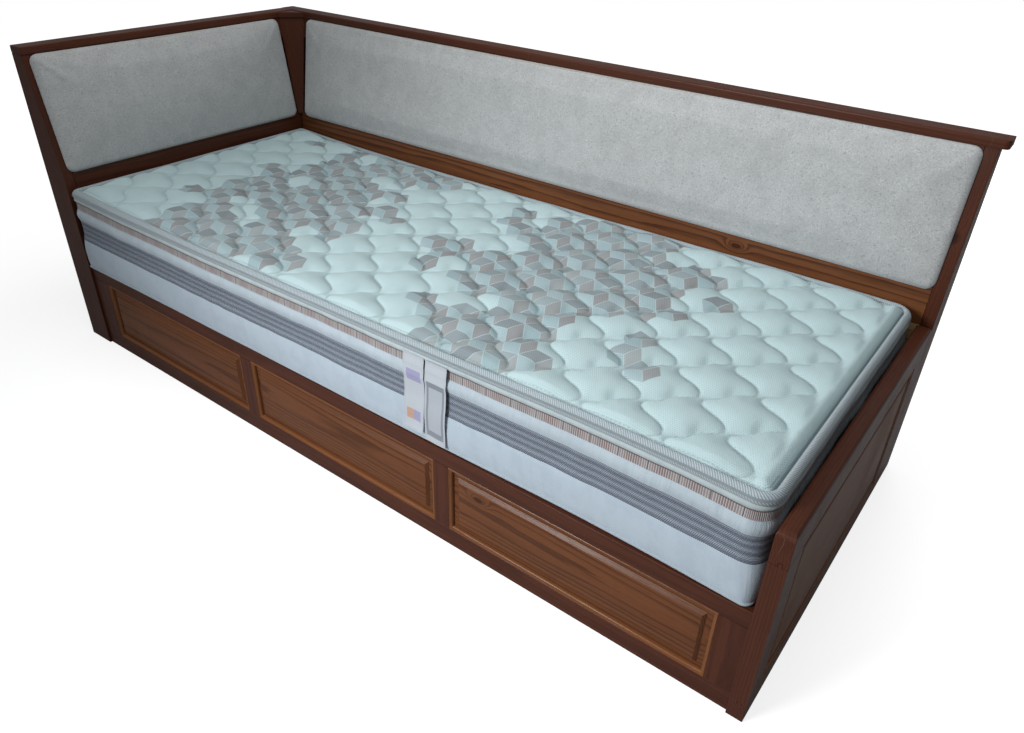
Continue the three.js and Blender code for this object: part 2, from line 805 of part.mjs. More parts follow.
function fixedPlate() {
  const corners = [
    [linkPivot[0], linkPivot[1]],
    [strutPivot[0], strutPivot[1]],
    [armPivot[0], armPivot[1]],
  ];
  const strips = corners.map((corner, i) => {
    return bar(corner, corners[(i + 1) % corners.length], plateMargin, plateMargin, plateOuter, plateInner);
  });
  const web = alongX(outline(corners), plateOuter, plateInner);
  return join(
    web,
    ...strips,
    disc(armPivot, pinRadius, plateOuter, armInner + seat + headThickness),
    disc(armPivot, headRadius, armInner + seat, armInner + seat + headThickness),
    disc(linkPivot, headRadius, plateOuter, linkOuter - seat),
    disc(linkPivot, pinRadius, plateOuter, linkInner + seat + headThickness),
    disc(linkPivot, headRadius, linkInner + seat, linkInner + seat + headThickness),
    disc(strutPivot, headRadius, plateOuter, eyeOuter - seat),
    disc(strutPivot, slimPinRadius, plateOuter, eyeInner + seat + headThickness),
    disc(strutPivot, headRadius, eyeInner + seat, eyeInner + seat + headThickness),
  );
}

function liftArm() {
  return cut(
    bar(armPivot, armBasePivot, armRadius, armRadius, armOuter, armInner),
    hole(armPivot, pinRadius + seat, armOuter, armInner),
    hole(armBasePivot, pinRadius + seat, armOuter, armInner),
  );
}

function guideLink() {
  return cut(
    bar(linkPivot, linkBasePivot, linkRadius, linkEndRadius, linkOuter, linkInner),
    hole(linkPivot, pinRadius + seat, linkOuter, linkInner),
    hole(linkBasePivot, slimPinRadius + linkPinPlay, linkOuter, linkInner),
  );
}

function sideAngle() {
  const flangeRight = angleLeft + sideAngleFlange;
  const section = outline([
    [angleLeft, baseBottom],
    [flangeRight, baseBottom],
    [flangeRight, baseBottom + sideAngleThickness],
    [angleLeft + sideAngleThickness, baseBottom + sideAngleThickness],
    [angleLeft + sideAngleThickness, slatTop],
    [angleLeft, slatTop],
  ]);
  const playHead = slimPinRadius + linkPinPlay + headThickness;
  const root = angleLeft + sideAngleThickness / 2;
  const armHead = armOuter - seat;
  const linkHead = linkOuter - seat;
  const eyeHead = eyeOuter - seat;
  return join(
    alongY(section, baseFront, baseRear),
    disc(armBasePivot, pinRadius, armHead - headThickness, root),
    disc(armBasePivot, headRadius, armHead - headThickness, armHead),
    disc(armBasePivot, headRadius, armInner + seat, root),
    disc(linkBasePivot, slimPinRadius, linkHead - headThickness, root),
    disc(linkBasePivot, playHead, linkHead - headThickness, linkHead),
    disc(linkBasePivot, playHead, linkInner + seat, root),
    disc(strutBasePivot, slimPinRadius, eyeHead - headThickness, root),
    disc(strutBasePivot, headRadius, eyeHead - headThickness, eyeHead),
    disc(strutBasePivot, headRadius, eyeInner + seat, root),
  );
}

// The strut is made upright and turned to its line: from the lower pivot to the upper one.
const strutLine = [strutBasePivot[0] - strutPivot[0], strutBasePivot[1] - strutPivot[1]];
const strutLength = Math.hypot(...strutLine);
const strutTurn = new THREE.Matrix4()
  .makeTranslation(strutMiddle, strutPivot[0], strutPivot[1])
  .multiply(new THREE.Matrix4().makeRotationX(Math.atan2(strutLine[1], strutLine[0]) - Math.PI / 2));

// A turned piece on the z axis from points [radius, z].
function turned(profile) {
  const points = profile.map(([radius, z]) => new THREE.Vector2(radius, z));
  const upright = new THREE.Matrix4().makeRotationX(Math.PI / 2);
  return new THREE.LatheGeometry(points, roundSteps).applyMatrix4(upright);
}

function strutEye(z, radius, holeRadius) {
  const eye = disc([0, z], radius, -strutEyeThickness / 2, strutEyeThickness / 2);
  return [eye, disc([0, z], holeRadius, -strutEyeThickness, strutEyeThickness)];
}

function gasCylinder() {
  const neck = strutEyeRadius - seat;
  const bore = rodRadius + seat;
  const body = turned([
    [0, neck],
    [strutRadius, neck],
    [strutRadius, cylinderLength],
    [bore, cylinderLength],
    [bore, cylinderLength - boreLength],
    [0, cylinderLength - boreLength],
  ]);
  const [eye, eyeHole] = strutEye(0, strutEyeRadius, slimPinRadius + seat);
  return cut(join(body, eye), eyeHole).applyMatrix4(strutTurn);
}

function gasRod() {
  const rod = turned([
    [0, cylinderLength - rodInside],
    [rodRadius, cylinderLength - rodInside],
    [rodRadius, strutLength - strutEyeRadius + seat],
    [0, strutLength - strutEyeRadius + seat],
  ]);
  const [eye, eyeHole] = strutEye(strutLength, strutEyeRadius, slimPinRadius + strutPlay + seat);
  return cut(join(rod, eye), eyeHole).applyMatrix4(strutTurn);
}

const fittings = {
  fixed_plate: [fixedPlate(), steel],
  lift_arm: [liftArm(), steel],
  guide_link: [guideLink(), steel],
  gas_cylinder: [gasCylinder(), steel],
  gas_rod: [gasRod(), chrome],
  base_side_angle: [sideAngle(), steel],
};
for (const [name, [geometry, material]] of Object.entries(fittings)) {
  add(`${name}_left`, geometry, material);
  const mirrored = add(`${name}_right`, geometry, material);
  mirrored.scale.x = -1;
  mirrored.position.x = leftInner + rightInner;
}

// Mattress: a quilted top whose seams cross at every second point of a grid, piped edges,
// and sides drawn in under the piping

const mattressRing = (inset, z) => {
  const width = mattressLength - 2 * inset;
  const depth = mattressDepth - 2 * inset;
  const pull = mattressCorner * (1 - Math.SQRT1_2) * 0.75;
  const place = (i, j) => {
    const edgeX = i === 0 ? 1 : i === quiltColumns ? -1 : 0;
    const edgeY = j === 0 ? 1 : j === quiltRows ? -1 : 0;
    const atCorner = edgeX !== 0 && edgeY !== 0 ? pull : 0;
    const x = mattressLeft + inset + width * i / quiltColumns + edgeX * atCorner;
    const y = mattressFront + inset + depth * j / quiltRows + edgeY * atCorner;
    return new THREE.Vector3(x, y, z);
  };
  const points = [];
  for (let i = 0; i < quiltColumns; i++) points.push(place(i, 0));
  for (let j = 0; j < quiltRows; j++) points.push(place(quiltColumns, j));
  for (let i = quiltColumns; i > 0; i--) points.push(place(i, quiltRows));
  for (let j = quiltRows; j > 0; j--) points.push(place(0, j));
  return { points, place };
};

function mattress() {
  const top = mattressBottom + mattressHeight;
  const profile = [
    [rollInset, mattressBottom],
    [pipingProud, mattressBottom + pipingProud],
    [0, mattressBottom + pipingHeight],
    [pipingProud, top - 3 * pipingHeight],
    [rollInset, top - 2 * pipingHeight],
    [pipingProud, top - pipingHeight - pipingProud],
    [rollInset / 2, top - pipingHeight],
    [0, top - pipingHeight / 2],
    [pipingProud, top],
  ];
  const rings = profile.map(([inset, z]) => mattressRing(inset, z));
  const ringPoints = rings.map((ring) => ring.points);
  const count = ringPoints[0].length;
  const points = ringPoints.flat();
  const index = [];
  for (let r = 0; r + 1 < rings.length; r++) {
    for (let k = 0; k < count; k++) {
      const next = (k + 1) % count;
      const low = r * count;
      const high = low + count;
      index.push(low + k, low + next, high + next, low + k, high + next, high + k);
    }
  }
  const middle = points.length;
  points.push(new THREE.Vector3(mattressLeft + mattressLength / 2, mattressFront + mattressDepth / 2, mattressBottom));
  for (let k = 0; k < count; k++) index.push(middle, (k + 1) % count, k);

  const topRing = rings.at(-1);
  const grid = points.length;
  const at = (i, j) => grid + j * (quiltColumns + 1) + i;
  for (let j = 0; j <= quiltRows; j++) {
    for (let i = 0; i <= quiltColumns; i++) {
      const point = topRing.place(i, j);
      const onEdge = i === 0 || j === 0 || i === quiltColumns || j === quiltRows;
      if (!onEdge && (i + j) % 2 === 1) point.z += quiltRise;
      points.push(point);
    }
  }
  for (let j = 0; j < quiltRows; j++) {
    for (let i = 0; i < quiltColumns; i++) {
      const corners = [at(i, j), at(i + 1, j), at(i + 1, j + 1), at(i, j + 1)];
      const seamAcross = (i + j) % 2 === 0;
      const [a, b, c, d] = seamAcross ? corners : [...corners.slice(1), corners[0]];
      index.push(a, b, c, a, c, d);
    }
  }
  const geometry = new THREE.BufferGeometry().setFromPoints(points);
  geometry.setIndex(index);
  const flat = geometry.toNonIndexed();
  flat.computeVertexNormals();
  return flat;
}
add('mattress', mattress(), mattressCloth);

export default bench;
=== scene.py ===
import json
import bmesh
import bpy
import numpy as np
from mathutils import Matrix, Vector

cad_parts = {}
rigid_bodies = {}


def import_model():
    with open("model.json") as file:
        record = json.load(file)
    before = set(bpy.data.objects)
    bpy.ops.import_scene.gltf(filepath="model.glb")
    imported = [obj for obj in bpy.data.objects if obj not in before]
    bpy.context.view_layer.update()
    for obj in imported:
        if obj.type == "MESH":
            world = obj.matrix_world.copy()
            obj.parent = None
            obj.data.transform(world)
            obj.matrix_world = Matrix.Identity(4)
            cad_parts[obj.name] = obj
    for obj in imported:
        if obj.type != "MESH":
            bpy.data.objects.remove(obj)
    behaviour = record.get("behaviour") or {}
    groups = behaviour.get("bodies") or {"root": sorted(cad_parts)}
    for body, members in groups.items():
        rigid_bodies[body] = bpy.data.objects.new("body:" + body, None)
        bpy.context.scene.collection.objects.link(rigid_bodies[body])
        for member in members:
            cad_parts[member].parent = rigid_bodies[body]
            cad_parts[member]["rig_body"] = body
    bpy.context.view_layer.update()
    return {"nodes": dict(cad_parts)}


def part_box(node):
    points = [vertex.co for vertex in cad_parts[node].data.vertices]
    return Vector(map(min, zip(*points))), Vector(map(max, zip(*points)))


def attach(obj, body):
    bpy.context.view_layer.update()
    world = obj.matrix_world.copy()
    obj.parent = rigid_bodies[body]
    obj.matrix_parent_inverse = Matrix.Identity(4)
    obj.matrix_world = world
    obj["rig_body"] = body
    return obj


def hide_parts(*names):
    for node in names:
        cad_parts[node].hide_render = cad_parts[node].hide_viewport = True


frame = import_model()
print("frame loaded:", len(frame["nodes"]), "nodes")

mm = 0.001
# the row frame's origin, from the bed's left front corner on the floor
benchMiddle = np.array([1077.0, 457.0, 0.0])


def toFrame(points):
    # millimetres from the left front floor corner to metres in the row frame
    return (np.asarray(points, float) - benchMiddle) * mm


# camera
camera = {
    "place": (1.2192, -1.3984, 1.2768),
    "right": (0.7958972, 0.60483589, 0.02685501),
    "up": (-0.34402839, 0.41531298, 0.84211614),
    "back": (0.49818884, -0.67947676, 0.53862715),
    "lens": 27.987,
    "shift": (0.00197, -0.0004),
}


def placeCamera():
    data = bpy.data.cameras.new("photoCamera")
    data.sensor_width = 36
    data.lens = camera["lens"]
    data.shift_x, data.shift_y = camera["shift"]
    data.clip_start, data.clip_end = 0.02, 60
    eye = bpy.data.objects.new("photoCamera", data)
    bpy.context.scene.collection.objects.link(eye)
    turn = Matrix((camera["right"], camera["up"], camera["back"])).transposed().to_4x4()
    eye.matrix_world = Matrix.Translation(camera["place"]) @ turn
    bpy.context.scene.camera = eye


placeCamera()


# small helpers for meshes

def addPiece(name, mesh, materials, body):
    piece = bpy.data.objects.new(name, mesh)
    bpy.context.scene.collection.objects.link(piece)
    for material in materials:
        mesh.materials.append(material)
    mesh.polygons.foreach_set("use_smooth", np.ones(len(mesh.polygons), bool))
    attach(piece, body)
    return piece


def pointsOf(mesh):
    points = np.empty(len(mesh.vertices) * 3, np.float32)
    mesh.vertices.foreach_get("co", points)
    return points.reshape(-1, 3).astype(float)


def movePoints(mesh, points):
    mesh.vertices.foreach_set("co", points.astype(np.float32).ravel())
    mesh.update()


def writeVectors(mesh, name, values, domain="POINT"):
    held = mesh.attributes.new(name, "FLOAT_VECTOR", domain)
    held.data.foreach_set("vector", np.asarray(values, np.float32).ravel())


def meshOf(name, points, faces, places=None):
    # faces: a list of arrays or lists, each with rows of corners
    mesh = bpy.data.meshes.new(name)
    rows = [row for part in faces for row in np.asarray(part).tolist()]
    mesh.from_pydata(toFrame(points).tolist(), [], rows)
    if places is not None:
        writeVectors(mesh, "place", places)
    mesh.update()
    return mesh


def gridFaces(rows, columns, closed=False, tube=False):
    # quads over a grid of points; closed joins the last column to the first, tube the last row to the first
    r, c = np.meshgrid(np.arange(rows - (not tube)), np.arange(columns - (not closed)), indexing="ij")
    up, on = (r + 1) % rows, (c + 1) % columns
    corners = [r * columns + c, r * columns + on, up * columns + on, up * columns + c]
    return np.stack(corners, -1).reshape(-1, 4)


def bridgeFaces(upper, lower):
    # quads between two closed rings of points
    return np.stack([np.roll(upper, -1), upper, lower, np.roll(lower, -1)], -1)


def fanFaces(ring, middle):
    # triangles from a closed ring of points to one in its middle
    return np.stack([ring, np.roll(ring, -1), np.full(len(ring), middle)], -1)


def faceOutwards(mesh, merge=True):
    # without merge every point keeps its place in the order
    bm = bmesh.new()
    bm.from_mesh(mesh)
    if merge:
        bmesh.ops.remove_doubles(bm, verts=bm.verts, dist=1e-6)
    bmesh.ops.recalc_face_normals(bm, faces=bm.faces)
    bm.to_mesh(mesh)
    bm.free()
    mesh.update()


def settle(piece):
    # the piece's modifiers become its mesh
    graph = bpy.context.evaluated_depsgraph_get()
    shown = piece.evaluated_get(graph)
    done = bpy.data.meshes.new_from_object(shown, preserve_all_data_layers=True, depsgraph=graph)
    piece.modifiers.clear()
    piece.data = done


def smoothStep(share):
    # 0 to 1 with a level start and end
    return share * share * (3 - 2 * share)


def smoothNoise(points, seed, size):
    # value noise: random numbers on a grid of the given size, blended with a cubic between them
    p = np.asarray(points, float) / size
    cell = np.floor(p).astype(np.int64)
    part = smoothStep(p - cell)
    strides = np.array([73856093, 19349663, 83492791])[: p.shape[-1]]    # large, to scatter the cells
    total = 0.0
    for corner in np.ndindex(*(2,) * p.shape[-1]):
        mixed = ((cell + np.array(corner)) * strides).sum(-1) + seed * 2654435761
        mixed = (mixed ^ (mixed >> 13)) * 1274126177
        value = ((mixed ^ (mixed >> 16)) & 65535) / 65535.0
        total = total + value * np.prod(np.where(np.array(corner) == 1, part, 1 - part), axis=-1)
    return total * 2 - 1


# small helpers for materials

class Wire:
    # an output of a node; plain sums and comparisons with it make the math nodes
    def __init__(self, nodes, socket):
        self.nodes, self.socket = nodes, socket

    def __add__(self, other):
        return self.nodes.math("ADD", self, other)

    def __sub__(self, other):
        return self.nodes.math("SUBTRACT", self, other)

    def __rsub__(self, other):
        return self.nodes.math("SUBTRACT", other, self)

    def __mul__(self, other):
        return self.nodes.math("MULTIPLY", self, other)

    def __truediv__(self, other):
        return self.nodes.math("DIVIDE", self, other)

    def __pow__(self, other):
        return self.nodes.math("POWER", self, other)

    def __rpow__(self, other):
        return self.nodes.math("POWER", other, self)

    def __gt__(self, other):
        return self.nodes.math("GREATER_THAN", self, other)

    def __lt__(self, other):
        return self.nodes.math("LESS_THAN", self, other)

    def __abs__(self):
        return self.nodes.math("ABSOLUTE", self)

    __radd__, __rmul__ = __add__, __mul__


class Nodes:
    # builds a node tree from short calls
    def __init__(self, tree):
        self.tree = tree

    def add(self, kind, settings=None, **inputs):
        node = self.tree.nodes.new(kind)
        for key, value in (settings or {}).items():
            setattr(node, key, value)
        for key, value in inputs.items():
            self.put(node, key, value)
        return node

    def put(self, node, key, value):
        # key is a socket's name, or i with its number
        numbered = key[0] == "i" and key[1:].isdigit()
        socket = node.inputs[int(key[1:]) if numbered else key.replace("_", " ")]
        if isinstance(value, bpy.types.Node):
            value = value.outputs[0]
        if isinstance(value, Wire):
            value = value.socket
        if isinstance(value, bpy.types.NodeSocket):
            self.tree.links.new(value, socket)
        else:
            socket.default_value = value

    def wires(self, kind, settings=None, **inputs):
        # the outputs of a new node by name
        return {socket.name: Wire(self, socket) for socket in self.add(kind, settings, **inputs).outputs}

    def wire(self, kind, number, settings=None, **inputs):
        # one output of a new node by its number
        return Wire(self, self.add(kind, settings, **inputs).outputs[number])

    def math(self, operation, a, b=0.0, clamp=False):
        return self.wire("ShaderNodeMath", 0, {"operation": operation, "use_clamp": clamp}, i0=a, i1=b)

    def vector(self, operation, a, b=(0, 0, 0), c=(0, 0, 0), out=0):
        return self.wire("ShaderNodeVectorMath", out, {"operation": operation}, i0=a, i1=b, i2=c)

    def length(self, vector):
        return self.vector("LENGTH", vector, out=1)

    def scaled(self, a, factor):
        if isinstance(factor, tuple):
            return self.vector("MULTIPLY", a, factor)
        return self.wire("ShaderNodeVectorMath", 0, {"operation": "SCALE"}, i0=a, Scale=factor)

    def fraction(self, value):
        return self.math("FRACT", value)

    def fromMiddle(self, value):
        # distance from the middle of the unit that the value stands in
        return abs(self.fraction(value) - 0.5)

    def ramp(self, value, low, high, toLow=0.0, toHigh=1.0, smooth=True):
        kind = {"interpolation_type": "SMOOTHSTEP" if smooth else "LINEAR"}
        ends = {"From_Min": low, "From_Max": high, "To_Min": toLow, "To_Max": toHigh}
        return self.wire("ShaderNodeMapRange", 0, kind, Value=value, **ends)

    def noise(self, vector, scale, detail=2.0, rough=0.5, out=0):
        kind = "ShaderNodeTexNoise"
        return self.wire(kind, out, Vector=vector, Scale=scale, Detail=detail, Roughness=rough)

    def mix(self, factor, a, b):
        a, b = ((*c[:3], 1.0) if isinstance(c, tuple) else c for c in (a, b))
        return self.wire("ShaderNodeMix", 2, {"data_type": "RGBA"}, i0=factor, i6=a, i7=b)

    def mixVector(self, factor, a, b):
        return self.wire("ShaderNodeMix", 1, {"data_type": "VECTOR"}, i0=factor, i4=a, i5=b)

    def parts(self, vector):
        return list(self.wires("ShaderNodeSeparateXYZ", Vector=vector).values())

    def joined(self, x, y, z=0.0):
        return self.wire("ShaderNodeCombineXYZ", 0, X=x, Y=y, Z=z)

    def turned(self, vector, angle):
        kind = {"rotation_type": "Z_AXIS"}
        return self.wire("ShaderNodeVectorRotate", 0, kind, Vector=vector, Angle=angle)

    def effect(self, group, **inputs):
        return self.wires("ShaderNodeGroup", {"node_tree": group}, **inputs)

    def place(self):
        # a point's own place on its piece, in metres
        return self.wires("ShaderNodeTexCoord")["Object"]

    def given(self, name="place"):
        # the vector that the mesh holds under this name
        return self.wires("ShaderNodeAttribute", {"attribute_name": name})["Vector"]

    def bump(self, shader, strength, distance, height):
        made = self.add("ShaderNodeBump", Strength=strength, Distance=distance, Height=height)
        self.put(shader, "Normal", made)


def newEffect(name, inputs, outputs):
    # an empty shader node group; inputs and outputs are names, each with a number or a vector to start from
    tree = bpy.data.node_groups.new(name, "ShaderNodeTree")
    for way, sockets in (("INPUT", inputs), ("OUTPUT", outputs)):
        for label, value in sockets.items():
            kind = "NodeSocketVector" if isinstance(value, tuple) else "NodeSocketFloat"
            tree.interface.new_socket(label, in_out=way, socket_type=kind).default_value = value
    n = Nodes(tree)
    return tree, n, n.wires("NodeGroupInput"), n.add("NodeGroupOutput")


def newMaterial(name, roughness=0.5, metallic=0.0, **sockets):
    material = bpy.data.materials.new(name)
    material.use_nodes = True
    n = Nodes(material.node_tree)
    shader = material.node_tree.nodes["Principled BSDF"]
    shader.inputs["Roughness"].default_value = roughness
    shader.inputs["Metallic"].default_value = metallic
    for key, value in sockets.items():
        shader.inputs[key.replace("_", " ")].default_value = value
    return material, n, shader


# shared effects

zero = (0.0, 0.0, 0.0)


def makeGrain():
    # pine grain: growth rings round a pith line that wanders, a saw-tooth of late wood in each, fine fibres;
    # rings swell round a knot, which is darker in its middle: swell = e ^ -(distance / 11 mm) ^ 2
    tree, n, given, out = newEffect(
        "pineGrain",
        {"Place": zero, "Knot": (1.0, 1.0, 1.0), "Ring Width": 0.005, "Wander": 0.012, "Unevenness": 1.1,
         "Late Start": 0.25},
        {"Late": 0.0, "Fibre": 0.0, "Broad": 0.0, "Pores": 0.0, "Knot Dark": 0.0},
    )
    place = given["Place"]
    drift = n.noise(n.scaled(place, (1.3, 6.0, 6.0)), 1.0, 2.0, 0.45, out=1)
    drift = n.vector("SUBTRACT", drift, (0.5, 0.5, 0.5))
    moved = n.vector("ADD", place, n.scaled(drift, given["Wander"]))
    radius = n.length(n.scaled(moved, (0.0, 1.0, 1.0)))
    fromKnot = n.length(n.scaled(given["Knot"], (0.45, 1.0, 0.0)))
    swell = 2.718 ** ((fromKnot / 0.011) ** 2.0 * -1.0)
    uneven = n.noise(n.scaled(place, (3.0, 55.0, 55.0)), 1.0, 2.0)
    tooth = n.fraction(radius / given["Ring Width"] + uneven * given["Unevenness"] + swell * 3.2)
    late = n.ramp(tooth, given["Late Start"], 0.9) * n.ramp(tooth, 0.93, 1.0, 1.0, 0.0)
    n.put(out, "Late", late)
    n.put(out, "Fibre", n.noise(n.scaled(place, (14.0, 1300.0, 1300.0)), 1.0, 2.0, 0.6))
    n.put(out, "Broad", n.noise(n.scaled(place, (1.6, 20.0, 20.0)), 1.0, 3.0, 0.55))
    n.put(out, "Pores", n.ramp(n.noise(n.scaled(place, (26.0, 620.0, 620.0)), 1.0, 2.0, 0.5), 0.58, 0.7))
    n.put(out, "Knot Dark", n.ramp(fromKnot, 0.003, 0.009, 1.0, 0.0))
    return tree


def makeScuffs():
    # thin straight scratches in patches, and broad smudges, as masks
    tree, n, given, out = newEffect(
        "scuffs", {"Place": zero, "Density": 0.5}, {"Scratch": 0.0, "Smudge": 0.0},
    )
    place = given["Place"]
    turn = {"rotation_type": "AXIS_ANGLE"}
    turned = n.add("ShaderNodeVectorRotate", turn, Vector=place, Axis=(0.3, 0.8, 0.5), Angle=0.9)
    lines = n.noise(n.scaled(turned, (9.0, 420.0, 9.0)), 1.0, 1.0, 0.4)
    gate = n.ramp(n.noise(place, 7.0, 2.0), 0.56, 0.66)
    n.put(out, "Scratch", n.ramp(lines, 0.74, 0.8) * (gate * given["Density"]))
    n.put(out, "Smudge", n.ramp(n.noise(place, 5.0, 4.0, 0.6), 0.35, 0.75))
    return tree


def makeHexCells():
    # a honeycomb of cells one unit apart: the nearer of two shifted lattices has the cell's middle
    tree, n, given, out = newEffect(
        "hexCells", {"Place": zero, "Pitch": 0.004}, {"Local": zero, "Cell": zero, "Edge": 0.0},
    )
    rowStep = 0.8660254    # the height of a triangle with sides of 1
    half, otherHalf = (0.5, rowStep, 0.5), (-0.5, -rowStep, -0.5)
    flat = n.scaled(given["Place"], (1.0, 1.0, 0.0))
    unit = n.vector("DIVIDE", flat, n.joined(given["Pitch"], given["Pitch"], 1.0))
    first = n.vector("WRAP", unit, half, otherHalf)
    second = n.vector("WRAP", n.vector("SUBTRACT", unit, (0.5, rowStep, 0.0)), half, otherHalf)
    local = n.mixVector(n.length(first) > n.length(second), first, second)
    x, y, _ = n.parts(n.vector("ABSOLUTE", local))
    n.put(out, "Local", local)
    n.put(out, "Cell", n.vector("SUBTRACT", unit, local))
    n.put(out, "Edge", 0.5 - n.math("MAXIMUM", x, x * 0.5 + y * rowStep))
    return tree


grain = makeGrain()
scuffs = makeScuffs()
hexCells = makeHexCells()
print("shared effects made")


# wood finishes

woodFinish = {
    "walnutWood": {
        "early": (0.088, 0.026, 0.013), "late": (0.042, 0.013, 0.0075), "ring": 0.0052, "wander": 0.009,
        "uneven": 2.2, "lateStart": 0.35, "rough": 0.38, "contrast": 0.5,
    },
    # a lighter, warmer, more contrasting copy of the walnut finish for the back mid rail: painted light where
    # light falls on that rail
    "litRailWood": {
        "early": (0.19, 0.07, 0.027), "late": (0.06, 0.019, 0.0095), "ring": 0.0046, "wander": 0.008,
        "uneven": 1.6, "lateStart": 0.3, "rough": 0.36, "contrast": 0.85,
    },
    "panelWood": {
        "early": (0.165, 0.058, 0.022), "late": (0.07, 0.023, 0.01), "ring": 0.0036, "wander": 0.012,
        "uneven": 1.3, "lateStart": 0.45, "rough": 0.38, "contrast": 0.8,
    },
    # lighter and warmer than the panels: partly a lighter stain on the beads, partly a painted highlight
    # where their lacquered round edges catch the light
    "beadWood": {
        "early": (0.225, 0.084, 0.03), "late": (0.12, 0.042, 0.018), "ring": 0.003, "wander": 0.005,
        "uneven": 1.0, "lateStart": 0.3, "rough": 0.26, "contrast": 0.5,
    },
}


def makeLacquered(name, early, late, ring, wander, uneven, lateStart, rough, contrast):
    # stained pine under satin lacquer: darker late wood and pores, paler fibres, fine scratches
    coat = {"Coat_Weight": 0.07, "Coat_Roughness": 0.2, "Specular_IOR_Level": 0.14}
    material, n, shader = newMaterial(name, rough, **coat)
    marks = n.effect(grain, Place=n.given(), Knot=n.given("knot"), Ring_Width=ring, Wander=wander,
                     Unevenness=uneven, Late_Start=lateStart)
    wear = n.effect(scuffs, Place=n.place(), Density=0.6)
    deeper = tuple(0.55 * c for c in late)
    lighter = tuple(1.35 * c + 0.006 for c in early)
    colour = n.mix(n.math("MULTIPLY", marks["Late"], contrast, clamp=True), early, late)
    colour = n.mix(n.ramp(marks["Broad"], 0.4, 0.75, 0.0, 0.35), colour, late)
    colour = n.mix(marks["Pores"] * 0.4, colour, deeper)
    colour = n.mix(n.ramp(marks["Fibre"], 0.55, 0.8, 0.0, 0.35), colour, lighter)
    colour = n.mix(marks["Knot Dark"] * 0.85, colour, deeper)
    colour = n.mix(wear["Scratch"] * 0.4, colour, (0.26, 0.17, 0.12))
    n.put(shader, "Base Color", colour)
    n.put(shader, "Roughness", wear["Smudge"] * 0.14 + rough)
    n.bump(shader, 0.22, 0.0006, marks["Fibre"] * 0.35 - (marks["Late"] * 0.25 + marks["Pores"]))
    return material


wood = {name: makeLacquered(name, **values) for name, values in woodFinish.items()}


def makeRawWood(name, early, late, ring, wander):
    # planed wood with no finish
    material, n, shader = newMaterial(name, 0.68, Specular_IOR_Level=0.3)
    marks = n.effect(grain, Place=n.given(), Ring_Width=ring, Wander=wander)
    colour = n.mix(marks["Late"], early, late)
    colour = n.mix(n.ramp(marks["Broad"], 0.4, 0.8, 0.0, 0.35), colour, tuple(0.7 * c for c in late))
    colour = n.mix(marks["Pores"] * 0.35, colour, tuple(0.6 * c for c in late))
    n.put(shader, "Base Color", colour)
    n.bump(shader, 0.3, 0.0005, marks["Fibre"])
    return material


plywood = makeRawWood("birchPly", (0.52, 0.36, 0.2), (0.4, 0.25, 0.12), 0.016, 0.03)
slatWood = makeRawWood("slatPine", (0.6, 0.43, 0.24), (0.46, 0.28, 0.13), 0.006, 0.012)
print("wood finishes made")


# wooden pieces: each is its CAD node with eased edges and its own place in the tree

woodWork = {
    "ease": 1.3,                # width of an eased edge, mm
    "easeFine": 0.7,            # on thin boards
    "easePlate": 0.5,           # on steel plates
    "easeRod": 0.3,
    "pithAway": (60.0, 170.0),  # how far a board's middle is from the pith, mm
    # places along the bed and up, mm
    "knots": {
        "back_mid_rail": (1672.0, 499.0), "back_right_board": (2118.0, 640.0),
        "front_panel_3": (1530.0, 170.0),
    },
}


def grainPlaces(mesh, name):
    # distance along the grain, then the two across it from the pith line, in metres; each board has its start
    points = pointsOf(mesh)
    random = np.random.default_rng(sum(ord(c) * (i + 3) for i, c in enumerate(name)))
    spans = np.ptp(points, axis=0)
    axis = int(np.argmax(spans))
    thin, wide = sorted((i for i in range(3) if i != axis), key=lambda i: spans[i])
    middle = (points.max(0) + points.min(0)) / 2
    away = random.uniform(*woodWork["pithAway"]) * mm * random.choice([-1, 1])
    aside = random.uniform(-30, 30) * mm
    start = random.uniform(0, 50)
    writeVectors(mesh, "place", (points - middle)[:, [axis, wide, thin]] + [start, aside, away])
    fromKnot = np.ones_like(points)
    if name in woodWork["knots"]:
        along, up = woodWork["knots"][name]
        fromKnot = (points - toFrame([along, 0.0, up]))[:, [axis, 2 - axis, 1]]
    writeVectors(mesh, "knot", fromKnot)


def cleanCopy(node):
    # the node's mesh as one merged surface with whole flat faces
    mesh = bpy.data.meshes.new(node)
    bm = bmesh.new()
    bm.from_mesh(frame["nodes"][node].data)
    bmesh.ops.remove_doubles(bm, verts=bm.verts, dist=2e-5)
    bmesh.ops.dissolve_limit(bm, angle_limit=0.01, verts=bm.verts, edges=bm.edges)
    bmesh.ops.recalc_face_normals(bm, faces=bm.faces)
    bm.to_mesh(mesh)
    bm.free()
    if "custom_normal" in mesh.attributes:
        mesh.attributes.remove(mesh.attributes["custom_normal"])
    return mesh


def camel(node):
    first, *rest = node.split("_")
    return first + "".join(word.capitalize() for word in rest)


def easedPiece(node, material, width, angle=28):
    body = frame["nodes"][node]["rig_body"]
    piece = addPiece(camel(node), cleanCopy(node), [material], body)
    bevel = piece.modifiers.new("easedEdges", "BEVEL")
    bevel.width = width * mm
    bevel.segments = 2
    bevel.limit_method = "ANGLE"
    bevel.angle_limit = np.radians(angle)
    bevel.use_clamp_overlap = True
    weighted = piece.modifiers.new("flatFaces", "WEIGHTED_NORMAL")
    weighted.mode = "FACE_AREA"
    weighted.weight = 80
    settle(piece)
    grainPlaces(piece.data, node)
    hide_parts(node)


